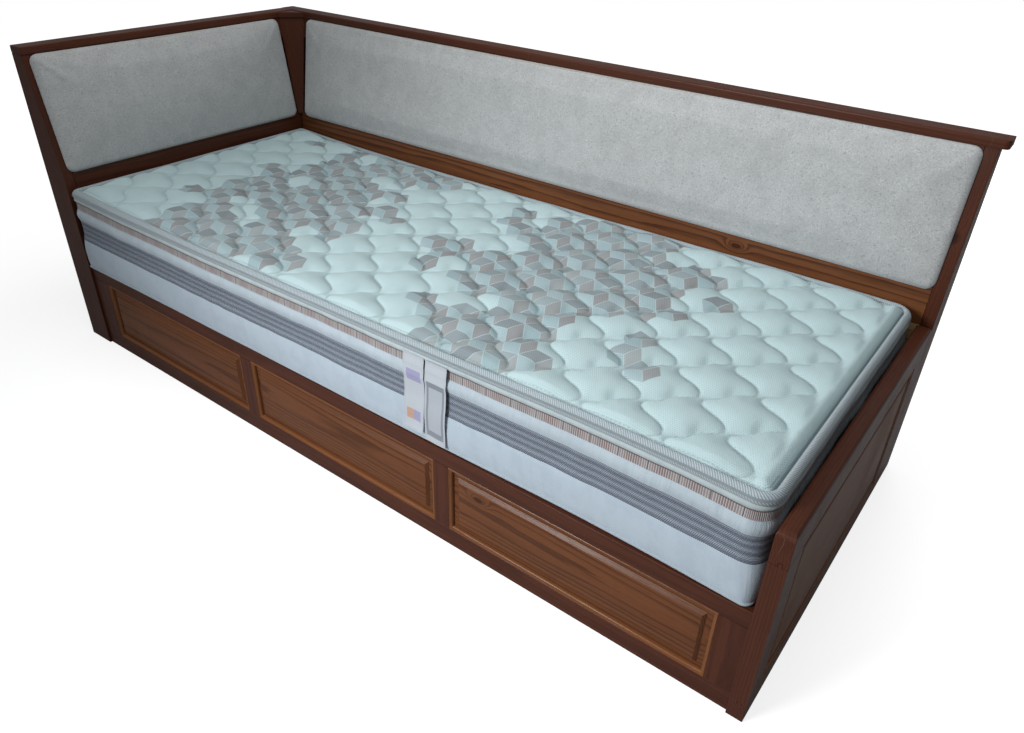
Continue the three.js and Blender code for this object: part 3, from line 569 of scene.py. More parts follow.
boards = (
    (wood["walnutWood"], "walnut_wood", "ease", """
        front_top_rail front_bottom_rail front_stile_1 front_stile_2 front_stile_3 front_stile_4
        right_end_top_rail right_end_bottom_rail right_end_front_stile right_end_rear_stile
        left_front_board back_right_board corner_post left_top_rail back_top_rail left_mid_rail
        left_bottom_rail back_bottom_rail corner_board left_cap back_cap cap_infill"""),
    (wood["walnutWood"], "walnut_wood", "easeFine", "left_outer_skin back_outer_skin"),
    # the back mid rail takes the lighter copy of the walnut finish: painted light
    (wood["litRailWood"], "walnut_wood", "ease", "back_mid_rail"),
    (plywood, "plywood", "easeFine",
     "right_end_lining left_lining back_lining left_cushion_board back_cushion_board storage_floor"),
    (slatWood, "slat_wood", "ease", "front_ledger rear_ledger base_front_rail base_rear_rail slat_mat"),
)
for material, slot, ease, nodes in boards:
    for node in nodes.split():
        easedPiece(node, material, woodWork[ease])
print("boards done")


# beads round the panels: an ovolo with a small step, carried round the opening with mitred corners

beadShape = {
    # (inwards from the opening's edge, forwards from the panel's groove) in mm
    "section": [(0.0, 0.0), (0.0, 7.6), (0.9, 8.4), (2.2, 8.4), (2.9, 7.4), (4.1, 7.1), (6.0, 6.3),
                (7.5, 4.8), (8.4, 3.0), (8.9, 1.2), (9.0, 0.0)],
    "perSide": 12,
}

panelShape = {
    # (inwards from the panel's edge, forwards from its groove face) in mm: the back, a sunken margin,
    # a steep step, the field
    "section": [(0.0, -7.0), (0.0, 0.0), (16.6, 0.0), (26.6, 0.5), (28.0, 0.7), (29.0, 1.6), (33.6, 6.0),
                (35.0, 7.0), (37.0, 7.3)],
    "perSide": 12,
}


def carriedRound(node, facing, shape, fitted):
    # rings of points round the node's box, one for each point of the section; fitted rings fill its depth
    low, high = (np.array(v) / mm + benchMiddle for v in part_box(node))
    side = 0 if facing == "front" else 1
    t = np.arange(shape["perSide"])[:, None] / shape["perSide"]
    corners = np.array([(0, 0), (1, 0), (1, 1), (0, 1)], float)
    share = np.concatenate([a + t * (b - a) for a, b in zip(corners, np.roll(corners, -1, axis=0))])
    lowFlat, highFlat = low[[side, 2]], high[[side, 2]]
    span = highFlat - lowFlat
    flat = np.stack([lowFlat + draw + share * (span - 2 * draw) for draw, _ in shape["section"]])
    forward = np.array([rise - shape["section"][0][1] for _, rise in shape["section"]])
    if fitted:
        forward = forward * (high - low)[1 - side] / forward.max()
    depth = np.repeat(forward[:, None], len(share), axis=1)
    if facing == "front":
        points = np.stack([flat[..., 0], high[1] - depth, flat[..., 1]], -1)
    else:
        points = np.stack([low[0] + depth, flat[..., 0], flat[..., 1]], -1)
    return points, toFrame(low), toFrame(high), side


def makeBead(node, facing):
    points, low, high, side = carriedRound(node, facing, beadShape, True)
    mesh = meshOf(camel(node), points.reshape(-1, 3), [gridFaces(*points.shape[:2], closed=True, tube=True)])
    faceOutwards(mesh)
    piece = addPiece(camel(node), mesh, [wood["beadWood"]], "root")
    mesh.set_sharp_from_angle(angle=np.radians(40))
    # the grain runs along each strip: a face belongs to the edge of the opening that its middle is nearest to
    loops = np.empty(len(mesh.loops), np.int32)
    starts = np.empty(len(mesh.polygons), np.int32)
    totals = np.empty(len(mesh.polygons), np.int32)
    mesh.loops.foreach_get("vertex_index", loops)
    mesh.polygons.foreach_get("loop_start", starts)
    mesh.polygons.foreach_get("loop_total", totals)
    at = pointsOf(mesh)[loops]
    middles = np.add.reduceat(at, starts, axis=0) / totals[:, None]
    fromEdge = np.minimum(middles - low, high - middles)
    upright = np.repeat(fromEdge[:, side] < fromEdge[:, 2], totals)
    lengthways = np.where(upright, at[:, 2] + 3.7, at[:, side])
    across = np.where(upright, at[:, side], at[:, 2])
    writeVectors(mesh, "place", np.stack([lengthways, across + 0.05, at[:, 1 - side] + 0.06], -1), "CORNER")
    writeVectors(mesh, "knot", np.ones((len(mesh.vertices), 3)))
    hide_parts(node)


def makePanel(node, facing):
    points, *_ = carriedRound(node, facing, panelShape, False)
    rows, count = points.shape[:2]
    back, front = [list(range(count))], [list(range((rows - 1) * count, rows * count))]
    mesh = meshOf(camel(node), points.reshape(-1, 3), [gridFaces(rows, count, closed=True), back, front])
    faceOutwards(mesh)
    piece = addPiece(camel(node), mesh, [wood["panelWood"]], "root")
    mesh.set_sharp_from_angle(angle=np.radians(24))
    grainPlaces(mesh, node)
    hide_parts(node)


for number in (1, 2, 3):
    makeBead(f"front_bead_{number}", "front")
    makePanel(f"front_panel_{number}", "front")
makeBead("right_end_bead", "right")
makePanel("right_end_panel", "right")
print("beads and panels done")


# steel fittings

def makeBlackSteel():
    coat = {"Coat_Weight": 0.15, "Coat_Roughness": 0.3, "Specular_IOR_Level": 0.5}
    material, n, shader = newMaterial("blackSteel", 0.42, **coat)
    grit = n.noise(n.place(), 1400.0, 2.0)
    wear = n.effect(scuffs, Place=n.place(), Density=0.8)
    colour = n.mix(grit, (0.016, 0.016, 0.018), (0.034, 0.034, 0.037))
    n.put(shader, "Base Color", n.mix(wear["Scratch"], colour, (0.16, 0.16, 0.17)))
    n.put(shader, "Roughness", n.ramp(wear["Smudge"], 0.0, 1.0, 0.36, 0.55))
    n.bump(shader, 0.25, 0.0003, grit)
    return material


def makeBrightRod():
    material, n, shader = newMaterial("brightRod", 0.14, 1.0)
    film = n.noise(n.place(), 60.0, 3.0)
    n.put(shader, "Base Color", n.mix(film, (0.72, 0.73, 0.75), (0.6, 0.61, 0.64)))
    n.put(shader, "Roughness", n.ramp(film, 0.3, 0.8, 0.1, 0.24))
    return material


blackSteel, brightRod = makeBlackSteel(), makeBrightRod()
for kind in ("fixed_plate", "lift_arm", "guide_link", "gas_cylinder", "base_side_angle"):
    for side in ("left", "right"):
        easedPiece(f"{kind}_{side}", blackSteel, woodWork["easePlate"], angle=35)
for side in ("left", "right"):
    easedPiece(f"gas_rod_{side}", brightRod, woodWork["easeRod"], angle=35)
print("steel fittings done")


# cushions

cushion = {
    "wallThickness": 96.0, "leanStart": 530.0, "wallTop": 824.0, "wallTopThickness": 48.0,
    "low": 524.0, "high": 822.0,
    "left": (14.0, 800.0),      # along the left wall, from the front
    "back": (120.0, 2115.0),    # along the back, from the left
    "backInner": 818.0,
    "corner": 21.0, "edge": 12.0, "crown": 19.5, "bow": 1.2, "gap": 0.3, "wrapIn": 5.0,
    "rollWidth": 14.0, "crownWidth": 110.0, "pullWidth": 60.0,    # how far in from the edge each reaches
    "pleats": 22, "pleatDepth": 1.7,
    "belly": (101.0, 105.4),    # along the bed: where the left belly starts to flatten, and its limit
    "mesh": 7.0,                # spacing of the cloth's points, mm
    "pressure": 0.9, "frames": 16, "cap": 7.0, "grip": 30.0, "staples": 58.0,
}


def cornerMap(u, v, width, height, rightRadius, leftRadius=None):
    # a square grid onto a rectangle with round corners: in each corner x' = x sqrt(1 - y y / 2), y' likewise
    outU, outV = u.copy(), v.copy()
    for signU, edgeU, radius in ((-1, 0.0, leftRadius or rightRadius), (1, width, rightRadius)):
        for signV, edgeV in ((-1, 0.0), (1, height)):
            midU, midV = edgeU - signU * radius, edgeV - signV * radius
            a, b = (u - midU) * signU / radius, (v - midV) * signV / radius
            inside = (a > 0) & (b > 0)
            a, b = np.clip(a, 0, 1), np.clip(b, 0, 1)
            outU = np.where(inside, midU + signU * radius * a * np.sqrt(1 - b * b / 2), outU)
            outV = np.where(inside, midV + signV * radius * b * np.sqrt(1 - a * a / 2), outV)
    return outU, outV


def borderLoop(rows, columns):
    # the grid's outer points in order round it
    low = np.arange(columns)
    right = (np.arange(1, rows) * columns) + columns - 1
    top = (rows - 1) * columns + np.arange(columns - 2, -1, -1)
    left = np.arange(rows - 2, 0, -1) * columns
    return np.concatenate([low, right, top, left])


def edgeDistance(u, v, width, height, radius):
    # distance from a point inside to a rectangle's edge with round corners
    a, b = np.abs(u - width / 2) - (width / 2 - radius), np.abs(v - height / 2) - (height / 2 - radius)
    outside = np.hypot(np.maximum(a, 0), np.maximum(b, 0))
    return radius - outside - np.minimum(np.maximum(a, b), 0)


def cushionPoints(width, height):
    # height over the board: an elliptic roll at the edge, then a slow crown that levels off further in
    c = cushion
    columns, rows = int(width / c["mesh"]) + 1, int(height / c["mesh"]) + 1
    u, v = np.meshgrid(np.linspace(0, width, columns), np.linspace(0, height, rows))
    u, v = cornerMap(u, v, width, height, c["corner"])
    d = edgeDistance(u, v, width, height, c["corner"])
    roll = np.sqrt(np.clip(1 - (1 - np.clip(d / c["rollWidth"], 0, 1)) ** 2, 0, 1))
    crown = 1 - (1 - np.clip(d / c["crownWidth"], 0, 1)) ** 2
    w = c["gap"] + 3.0 + (c["edge"] - 3.0) * roll + (c["crown"] - c["edge"]) * crown
    pull = c["bow"] * 4 * (u / width) * (1 - u / width)
    v = v + np.where(v > height / 2, -pull, pull) * (1 - np.clip(d / c["pullWidth"], 0, 1))
    return u, v, w


def makeCushion(side, cloth):
    c = cushion
    node = f"{side}_cushion"
    width, start = c[side][1] - c[side][0], c[side][0]
    rise = np.hypot(c["wallTop"] - c["leanStart"], c["wallThickness"] - c["wallTopThickness"])
    cosine = (c["wallTop"] - c["leanStart"]) / rise
    sine = (c["wallThickness"] - c["wallTopThickness"]) / rise
    height = (c["high"] - c["low"]) / cosine
    drop = (c["leanStart"] - c["low"]) / cosine
    u, v, w = cushionPoints(width, height)
    rows, columns = u.shape
    loop = borderLoop(rows, columns)
    face = np.stack([u, v, w], -1).reshape(-1, 3)
    rim = face[loop]
    edge = np.column_stack([rim[:, :2], np.full(len(rim), c["gap"] + 1.0)])
    backU = c["wrapIn"] + u.ravel() * (1 - 2 * c["wrapIn"] / width)
    backV = c["wrapIn"] + v.ravel() * (1 - 2 * c["wrapIn"] / height)
    back = np.column_stack([backU, backV, np.full(len(backU), c["gap"])])
    local = np.concatenate([face, edge, back])
    firstEdge, firstBack = len(face), len(face) + len(edge)
    edgeRing = firstEdge + np.arange(len(edge))
    grid = gridFaces(rows, columns)
    skirts = [bridgeFaces(loop, edgeRing), bridgeFaces(edgeRing, firstBack + loop)]
    faces = [grid, *skirts, grid[:, ::-1] + firstBack]
    if side == "left":
        origin = np.array([c["wallThickness"], start, c["leanStart"]])
        axes = np.array([[0, 1, 0], [-sine, 0, cosine], [cosine, 0, sine]])
    else:
        origin = np.array([start, c["backInner"], c["leanStart"]])
        axes = np.array([[1, 0, 0], [0, sine, cosine], [0, -cosine, sine]])
    pinned = np.concatenate([np.zeros(len(face)), np.ones(len(edge) + len(back))])
    along = np.concatenate([[0], np.cumsum(np.hypot(*np.diff(rim[:, :2], axis=0).T))])
    stapled = (np.abs((along / c["staples"]) % 1 - 0.5) > 0.42).astype(float)
    pinned[loop] = 0.55 + 0.45 * stapled
    placed = origin + (local - np.array([0, drop, 0])) @ axes
    mesh = meshOf(camel(node), placed, faces, np.column_stack([local[:, :2] * mm, pinned]))
    faceOutwards(mesh, merge=False)
    piece = addPiece(camel(node), mesh, [cloth], "root")
    fromEdge = edgeDistance(u, v, width, height, c["corner"]).ravel()
    room = c["cap"] * np.clip(fromEdge / c["grip"], 0.05, 1)
    puffed(piece, pinned, np.concatenate([room, np.zeros(len(local) - len(face))]))
    soften = piece.modifiers.new("soften", "SUBSURF")
    soften.levels = soften.render_levels = 1
    settle(piece)
    pleats(piece.data, axes[2], width, height)
    if side == "left":
        flattenBelly(piece.data)
    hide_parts(node)


def flattenBelly(mesh):
    # room for the mattress to swing past:
    # beyond the start, place = start + room (1 - e ^ (-(place - start) / room))
    start, limit = cushion["belly"]
    room = limit - start
    points = pointsOf(mesh)
    x = points[:, 0] / mm + benchMiddle[0]
    eased = start + room * (1 - np.exp(-np.maximum(x - start, 0) / room))
    points[:, 0] = (np.where(x > start, eased, x) - benchMiddle[0]) * mm
    movePoints(mesh, points)


def puffed(piece, pinned, room):
    # cloth under pressure, held fast along the stapled edge, with a cap on how far each point may go
    group = piece.vertex_groups.new(name="held")
    for value in np.unique(pinned):
        if value > 0:
            group.add(np.flatnonzero(pinned == value).tolist(), float(value), "REPLACE")
    before = pointsOf(piece.data)
    cloth = piece.modifiers.new("cloth", "CLOTH")
    settings = cloth.settings
    settings.quality = 5
    settings.mass = 0.3
    settings.tension_stiffness = settings.compression_stiffness = 18
    settings.shear_stiffness = 8
    settings.bending_stiffness = 1.2
    settings.vertex_group_mass = "held"
    settings.pin_stiffness = 4
    settings.use_pressure = True
    settings.uniform_pressure_force = cushion["pressure"]
    settings.effector_weights.gravity = 0
    cloth.collision_settings.use_collision = False
    cloth.point_cache.frame_start, cloth.point_cache.frame_end = 1, cushion["frames"]
    scene = bpy.context.scene
    for number in range(1, cushion["frames"] + 1):
        scene.frame_set(number)
    graph = bpy.context.evaluated_depsgraph_get()
    step = pointsOf(piece.evaluated_get(graph).data) - before
    piece.modifiers.clear()
    scene.frame_set(1)
    far = np.linalg.norm(step, axis=1, keepdims=True)
    movePoints(piece.data, before + step * np.minimum(1, room[:, None] * mm / np.maximum(far, 1e-9)))
    piece.vertex_groups.clear()
    print(piece.name, "cloth moved up to", round(float(far.max() / mm), 1), "mm")


def pleats(mesh, normal, width, height):
    # folds at the corners: a fan of shallow grooves round each corner's middle; slow ripples in the rest
    c = cushion
    points = pointsOf(mesh)
    place = np.empty(len(points) * 3, np.float32)
    mesh.attributes["place"].data.foreach_get("vector", place)
    u, v = (place.reshape(-1, 3)[:, :2] / mm).T
    cutU, cutV = np.minimum(u, width - u), np.minimum(v, height - v)
    angle = np.arctan2(np.maximum(c["corner"] * 1.6 - cutV, 0), np.maximum(c["corner"] * 1.6 - cutU, 0))
    near = np.clip(1 - np.hypot(cutU, cutV) / (c["corner"] * 2.2), 0, 1) ** 1.3
    groove = -0.5 - 0.5 * np.cos(angle * c["pleats"] + 2.0 * np.sin(u / 19.0))
    over = np.stack([u, v], -1)
    ripple = smoothNoise(over, 5, 85.0) * 0.5 + smoothNoise(over, 6, 31.0) * 0.16
    low = np.clip(np.minimum(cutU, cutV) / 25, 0, 1)
    movePoints(mesh, points + np.outer(c["pleatDepth"] * groove * near + ripple * low, normal) * mm)


cushionCloth = {
    "base": (0.47, 0.475, 0.48), "light": (0.64, 0.64, 0.64), "dark": (0.29, 0.285, 0.29), "fleck": 0.0022,
}


def makeCushionCloth():
    # short chenille: flecks of lighter and darker yarn, soft patches of laid pile, a fine tufted surface
    c = cushionCloth
    sheen = {"Sheen_Weight": 0.25, "Sheen_Roughness": 0.5, "Specular_IOR_Level": 0.2}
    material, n, shader = newMaterial("cushionCloth", 0.92, **sheen)
    at = n.place()
    shift = n.vector("SUBTRACT", n.noise(at, 120.0, 2.0, out=1), (0.5, 0.5, 0.5))
    warped = n.vector("ADD", at, n.scaled(shift, 0.006))
    fleck = n.noise(warped, 1 / c["fleck"], 2.0, 0.6)
    crumbs = n.noise(n.vector("ADD", warped, (3.1, 1.7, 0.4)), 0.55 / c["fleck"], 2.0, 0.65)
    colour = n.mix(n.ramp(fleck, 0.5, 0.7), c["base"], c["light"])
    colour = n.mix(n.ramp(crumbs, 0.52, 0.72, 0.0, 0.75), colour, c["dark"])
    colour = n.mix(n.ramp(n.noise(warped, 26.0, 4.0, 0.62), 0.36, 0.7, 0.0, 0.24), colour, c["dark"])
    colour = n.mix(n.ramp(n.noise(at, 7.0, 2.0), 0.4, 0.7, 0.0, 0.08), colour, c["dark"])
    n.put(shader, "Base Color", colour)
    n.bump(shader, 0.4, 0.001, fleck * 0.8 + crumbs * 0.5)
    return material


cushionClothMaterial = makeCushionCloth()
for side in ("left", "back"):
    makeCushion(side, cushionClothMaterial)
print("cushions done")


# mattress

mattress = {
    "x": (106.4, 2100.0), "y": (7.0, 807.0), "bottom": 255.4, "top": 470.0,
    # along the bed: how much higher the top is, and how far the front side bows outwards
    "topShift": [(98, 11.0), (330, 1.0), (700, -2.0), (1300, 2.0), (1980, 9.0), (2100, 7.0)],
    "bow": [(98, 13.0), (420, 8.0), (900, 3.0), (1400, 0.0), (1750, -7.0), (1960, -3.0), (2100, 4.0)],
    "leftLimit": 105.7,         # the left end stays clear of the left cushion when it swings up
    "leftCorner": 0.42,         # radius of the left corners as a share of the right ones
    "longSteps": 420, "shortSteps": 170, "arcSteps": 18,
    "quiltGrid": 3.0, "pillow": 15.5, "cellX": 80.5, "cellY": 70.5, "node": (1642.0, 122.0),
    # bends of the two sets of sewn lines
    "noseX": 0.6, "noseY": 0.32, "backX": 0.2, "backY": 0.15, "backX2": -0.2, "backY2": -0.2,
    "neck": 0.03,               # how far neighbouring sewn lines stay apart
    "roundness": 0.4,           # how steep a pillow is at its line
    "dimple": 4.0,
    "tapeInset": 15.0,          # from the mattress's side to the quilted panel's edge
    "quiltCorner": 24.0, "quiltSkirt": 9.0,
    "grooveDepth": 7.5, "grooveIn": 6.0, "grooveWidth": 3.4,    # beside the tape at the low end
    "plainAfter": 14.0,         # over this length the quilting turns plain past the last points
}

# the side from the bottom up: (height share, inwards in mm, corner radius), and where each band starts
sideProfile = {
    "rings": [
        (0, 30, 34), (0, 9, 20), (0.004, 5, 20), (0.012, 2.2, 20), (0.02, 1.6, 20), (0.026, 3.4, 21),
        (0.034, 3, 22), (0.07, 1.2, 25), (0.13, 0, 29), (0.2, -1, 33), (0.27, -1.2, 37),
        (0.34, -0.5, 41), (0.38, 0.6, 44), (0.4, 1.4, 44), (0.425, 2.2, 44), (0.45, 3.6, 45),
        (0.5, 4.4, 45), (0.55, 4.8, 45), (0.6, 4.6, 46), (0.645, 4, 46), (0.665, 3.2, 46),
        (0.685, 1.6, 46), (0.71, 0.4, 46), (0.735, 0.2, 46), (0.765, 1.4, 46), (0.785, 3.6, 46),
        (0.8, 4.8, 46), (0.84, 5.4, 46), (0.87, 5.8, 46), (0.885, 6.4, 46), (0.893, 5.2, 46),
        (0.905, 3.6, 46), (0.92, 3.2, 46), (0.935, 4.4, 46), (0.945, 7, 46), (0.95, 11, 46),
    ],
    "bands": {"lowerTicking": 0.0, "darkMesh": 0.395, "whiteBand": 0.667, "ribbon": 0.793, "knitRoll": 0.882},
    "gathered": (0.667, 0.79),    # heights between which the cloth is drawn into small upright folds
}


def smoothTable(x, table):
    # a smooth curve through a few (place, value) pairs
    px, pv = np.array(table, float).T
    fine = np.linspace(px[0], px[-1], 400)
    line = np.interp(fine, px, pv)
    kernel = np.hanning(61)
    padded = np.concatenate([np.full(30, line[0]), line, np.full(30, line[-1])])
    return np.interp(x, fine, np.convolve(padded, kernel / kernel.sum(), "valid"))


def pathPoints(inset, radius):
    # round the mattress from the front left: a rectangle drawn in by inset, with arcs, smaller at the left
    m = mattress
    (x0, x1), (y0, y1) = m["x"], m["y"]
    x0, x1, y0, y1 = x0 + inset, x1 - inset, y0 + inset, y1 - inset
    wide, narrow = max(radius - inset, 4.0), max(radius * m["leftCorner"] - inset, 4.0)
    turns = [((x1 - wide, y0 + wide), wide, -90, m["longSteps"], (x0 + narrow, y0)),
             ((x1 - wide, y1 - wide), wide, 0, m["shortSteps"], (x1, y0 + wide)),
             ((x0 + narrow, y1 - narrow), narrow, 90, m["longSteps"], (x1 - wide, y1)),
             ((x0 + narrow, y0 + narrow), narrow, 180, m["shortSteps"], (x0, y1 - narrow))]
    pieces = []
    for middle, r, start, steps, begin in turns:
        a = np.radians(start) + np.arange(m["arcSteps"]) / m["arcSteps"] * np.pi / 2
        arc = np.array(middle) + r * np.column_stack([np.cos(a), np.sin(a)])
        pieces += [np.array(begin) + np.arange(steps)[:, None] / steps * (arc[0] - np.array(begin)), arc]
    return np.concatenate(pieces)


def outwardOf(path):
    ahead = np.roll(path, -1, axis=0) - np.roll(path, 1, axis=0)
    ahead /= np.linalg.norm(ahead, axis=1, keepdims=True)
    return np.column_stack([ahead[:, 1], -ahead[:, 0]])


def around(path):
    # length along the path up to each of its points
    return np.concatenate([[0], np.cumsum(np.linalg.norm(np.diff(path, axis=0), axis=1))])


def bowed(points):
    # the front side bows in and out along the length; the shift fades towards the back
    m = mattress
    fade = np.clip(1 - (points[..., 1] - m["y"][0]) / 120.0, 0, 1) ** 2
    points[..., 1] -= smoothTable(points[..., 0], m["bow"]) * fade
    return points


def topLift(x, share):
    return smoothTable(x, mattress["topShift"]) * share


def makeMattressSide(materials):
    # each ring is the path at its height, moved outwards by soft waves and by gathers that noise draws
    m, rings = mattress, sideProfile["rings"]
    tall = m["top"] - m["bottom"]
    length = around(pathPoints(0.0, 60.0))
    count = len(length)
    rows, places = [], []
    for share, inset, radius in rings:
        path = pathPoints(inset, radius)
        wave = np.column_stack([length, np.full(count, share * 260)])
        soft = smoothNoise(wave, 11, 95.0) * 1.3 + smoothNoise(wave * [1, 0.35], 12, 31.0) * 0.9
        gathered = sideProfile["gathered"][0] < share < sideProfile["gathered"][1]
        gather = smoothNoise(wave * [1, 0.2], 13, 11.0) * (0.7 if gathered else 0.2)
        amount = (soft + gather) * np.clip(share / 0.05, 0, 1)
        path = bowed(path + outwardOf(path) * amount[:, None])
        z = np.full(count, m["bottom"] + share * tall) + topLift(path[:, 0], share)
        path[:, 0] = np.maximum(path[:, 0], m["leftLimit"])
        rows.append(np.column_stack([path, z]))
        level = [share * tall * mm, share]
        places.append(np.column_stack([length * mm, np.tile(level, (count, 1))]))
    for held in (rows, places):
        held += [held[0].mean(0, keepdims=True), held[-1].mean(0, keepdims=True)]
    ring, ends = np.arange(count), len(rings) * count
    caps = [fanFaces(ring[::-1], ends), fanFaces(ends - count + ring, ends + 1)]
    faces = [gridFaces(len(rings), count, closed=True), *caps]
    mesh = meshOf("mattressSide", np.concatenate(rows), faces, np.concatenate(places))
    starts = np.array(list(sideProfile["bands"].values()))
    heights = np.array([r[0] for r in rings])
    band = np.searchsorted(starts, (heights[:-1] + heights[1:]) / 2, side="right") - 1
    index = np.concatenate([np.repeat(band, count), np.zeros(count), np.full(count, len(starts) - 1)])
    mesh.polygons.foreach_set("material_index", index.astype(np.int32))
    faceOutwards(mesh)
    piece = addPiece("mattressSide", mesh, materials, "lift_base")
    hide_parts("mattress")


def quiltPlaces(x, y):
    # the lattice coordinates (s, t) of a point: Newton steps on
    # place = node + s U + t V + bends, where each bend is a sine that is zero at the crossings
    m = mattress
    cx, cy, (ox, oy) = m["cellX"], m["cellY"], m["node"]
    px, py = x - ox, y - oy
    s, t = (px / cx - py / cy) / 2, (px / cx + py / cy) / 2
    turn = 2 * np.pi
    for _ in range(16):
        bendX = (m["backX"] * np.sin(turn * t) + m["backX2"] * np.sin(2 * turn * t) / 2) / turn
        bendY = (m["backY"] * np.sin(turn * t) + m["backY2"] * np.sin(2 * turn * t) / 2) / turn
        missX = cx * (s - m["noseX"] * np.sin(turn * s) / turn + t + bendX) - px
        missY = cy * (-s - m["noseY"] * np.sin(turn * s) / turn + t - bendY) - py
        a = cx * (1 - m["noseX"] * np.cos(turn * s))
        b = cx * (1 + m["backX"] * np.cos(turn * t) + m["backX2"] * np.cos(2 * turn * t))
        c = -cy * (1 + m["noseY"] * np.cos(turn * s))
        d = cy * (1 - m["backY"] * np.cos(turn * t) - m["backY2"] * np.cos(2 * turn * t))
        det = a * d - b * c
        s, t = s - (d * missX - b * missY) / det * 0.9, t - (a * missY - c * missX) / det * 0.9
    return s, t


def pillowForm(s, t):
    # |sin pi s sin pi t - neck cos pi s cos pi t| is zero along the sewn lines, which pass with a narrow neck
    m = mattress
    form = np.sin(np.pi * s) * np.sin(np.pi * t) - m["neck"] * np.cos(np.pi * s) * np.cos(np.pi * t)
    partS, partT = s - np.floor(s), t - np.floor(t)
    dimple = np.exp(-((partS - 0.9) / 0.12) ** 2 - ((partT - 0.5) / 0.15) ** 2)
    return np.abs(form), dimple


def makeQuilt(material):
    # the quilted top: height = rise form ^ roundness, less at the dimples, down to a flat strip at the edge
    m = mattress
    inset = m["tapeInset"]
    (x0, x1), (y0, y1) = m["x"], m["y"]
    width, depth = x1 - x0 - 2 * inset, y1 - y0 - 2 * inset
    columns, rows = int(width / m["quiltGrid"]) + 1, int(depth / m["quiltGrid"]) + 1
    u, v = np.meshgrid(np.linspace(0, width, columns), np.linspace(0, depth, rows))
    corner, leftCorner = m["quiltCorner"], m["quiltCorner"] * m["leftCorner"]
    u, v = cornerMap(u, v, width, depth, corner, leftCorner)
    x, y = u + x0 + inset, v + y0 + inset
    over = np.stack([x, y], -1)
    s, t = quiltPlaces(x, y)
    d = edgeDistance(u, v, width, depth, np.where(u < width / 2, leftCorner, corner))
    form, dimple = pillowForm(s, t)
    lastColumn = int((x1 - inset - m["node"][0]) / m["cellX"])
    pastTips = x - m["node"][0] - lastColumn * m["cellX"]      # beyond the last points the cloth is plain
    plain = np.clip(pastTips / m["plainAfter"], 0, 1) * (np.floor(s) + np.floor(t) + 1 >= lastColumn)
    form = (form + (0.5 - form) * smoothStep(plain)) ** m["roundness"]
    dimple = dimple * (1 - plain)
    uneven = 1 + 0.12 * smoothNoise(over, 21, 120.0)
    inner = smoothStep(np.clip((d - 4) / 22, 0, 1))
    strip = np.clip(d / 5.0, 0, 1)
    rise = m["pillow"] * form * uneven - m["dimple"] * dimple
    fromGroove = x1 - inset - m["grooveIn"] - x
    groove = np.exp(-(fromGroove / m["grooveWidth"]) ** 2) * np.clip((v - 12) / 20, 0, 1)
    z = m["top"] - 2.0 + rise * (0.25 + 0.75 * inner) * strip + 2.0 * inner
    z = z - m["grooveDepth"] * groove + 0.35 * smoothNoise(over, 23, 17.0) * strip
    points = np.stack([x, y, z], -1).reshape(-1, 3)
    loop = borderLoop(rows, columns)
    points = bowed(np.concatenate([points, points[loop] - [0, 0, m["quiltSkirt"]]]))
    points[:, 2] += topLift(points[:, 0], 1.0)
    base = rows * columns
    points = np.concatenate([points, points[base:].mean(0, keepdims=True)])
    under = base + np.arange(len(loop))
    faces = [gridFaces(rows, columns), bridgeFaces(loop, under), fanFaces(under[::-1], len(points) - 1)]
    mesh = meshOf("quiltedTop", points, faces)
    lattice = np.stack([form, dimple, d * mm], -1).reshape(-1, 3)
    writeVectors(mesh, "lattice", np.concatenate([lattice, lattice[loop], lattice[:1]]))
    faceOutwards(mesh)
    piece = addPiece("quiltedTop", mesh, [material], "lift_base")
    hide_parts("mattress")


def makeTape(name, inset, radius, middle, half, wide, material, lift=1.0, twist=0.0, steps=14):
    # a round tape carried along the mattress's edge: an ellipse of half heights, turned by twist
    path = pathPoints(inset, radius)
    outward, length = outwardOf(path), around(path)
    count = len(path)
    wobble = smoothNoise(np.column_stack([length, np.full(count, 3.0)]), 31, 140.0)
    rows, places = [], []
    for a in np.arange(steps) / steps * 2 * np.pi:
        flat, tall = np.cos(a) * wide, np.sin(a) * half
        sideways = flat * np.cos(twist) - tall * np.sin(twist)
        up = flat * np.sin(twist) + tall * np.cos(twist)
        ring = bowed(path + outward * (sideways + wobble * 0.3)[:, None])
        rows.append(np.column_stack([ring, middle + up + wobble * 0.6 + topLift(ring[:, 0], lift)]))
        places.append(np.column_stack([length * mm, np.full(count, a / (2 * np.pi)), np.zeros(count)]))
    faces = [gridFaces(steps, count, closed=True, tube=True)]
    mesh = meshOf(name, np.concatenate(rows), faces, np.concatenate(places))
    faceOutwards(mesh)
    piece = addPiece(name, mesh, [material], "lift_base")
    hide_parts("mattress")


ticking = {
    "white": (0.50, 0.63, 0.655), "shade": (0.385, 0.51, 0.53), "knitPitch": 0.0042,
    "blue": (0.315, 0.42, 0.455), "grey": (0.195, 0.215, 0.235),
    "taupe": (0.265, 0.245, 0.25), "pale": (0.46, 0.56, 0.59),
    "hexPitch": 0.066, "turn": 0.52,
    # stretches along the bed, m: from, to, how soft the ends are, and the share of blocks printed there
    "printed": [(0.405, 0.775, 0.03, 0.87), (1.235, 1.58, 0.03, 0.87),
                (0.28, 0.88, 0.04, 0.34), (1.10, 1.74, 0.04, 0.34)],
    # endGroove is where painted shade darkens the groove beside the tape at the low end
    "endGroove": 1.002,        # the dark groove beside the tape at the low end, m
    # the row of stitches: one stitch and its gap, m, the stitch's share of it, how far in from the edge, m,
    # and how far to the back it shows
    "stitch": 0.0085, "stitchShare": 0.62, "stitchIn": 0.012, "stitchUpTo": -0.38,
}


fullTurn = 6.2831853


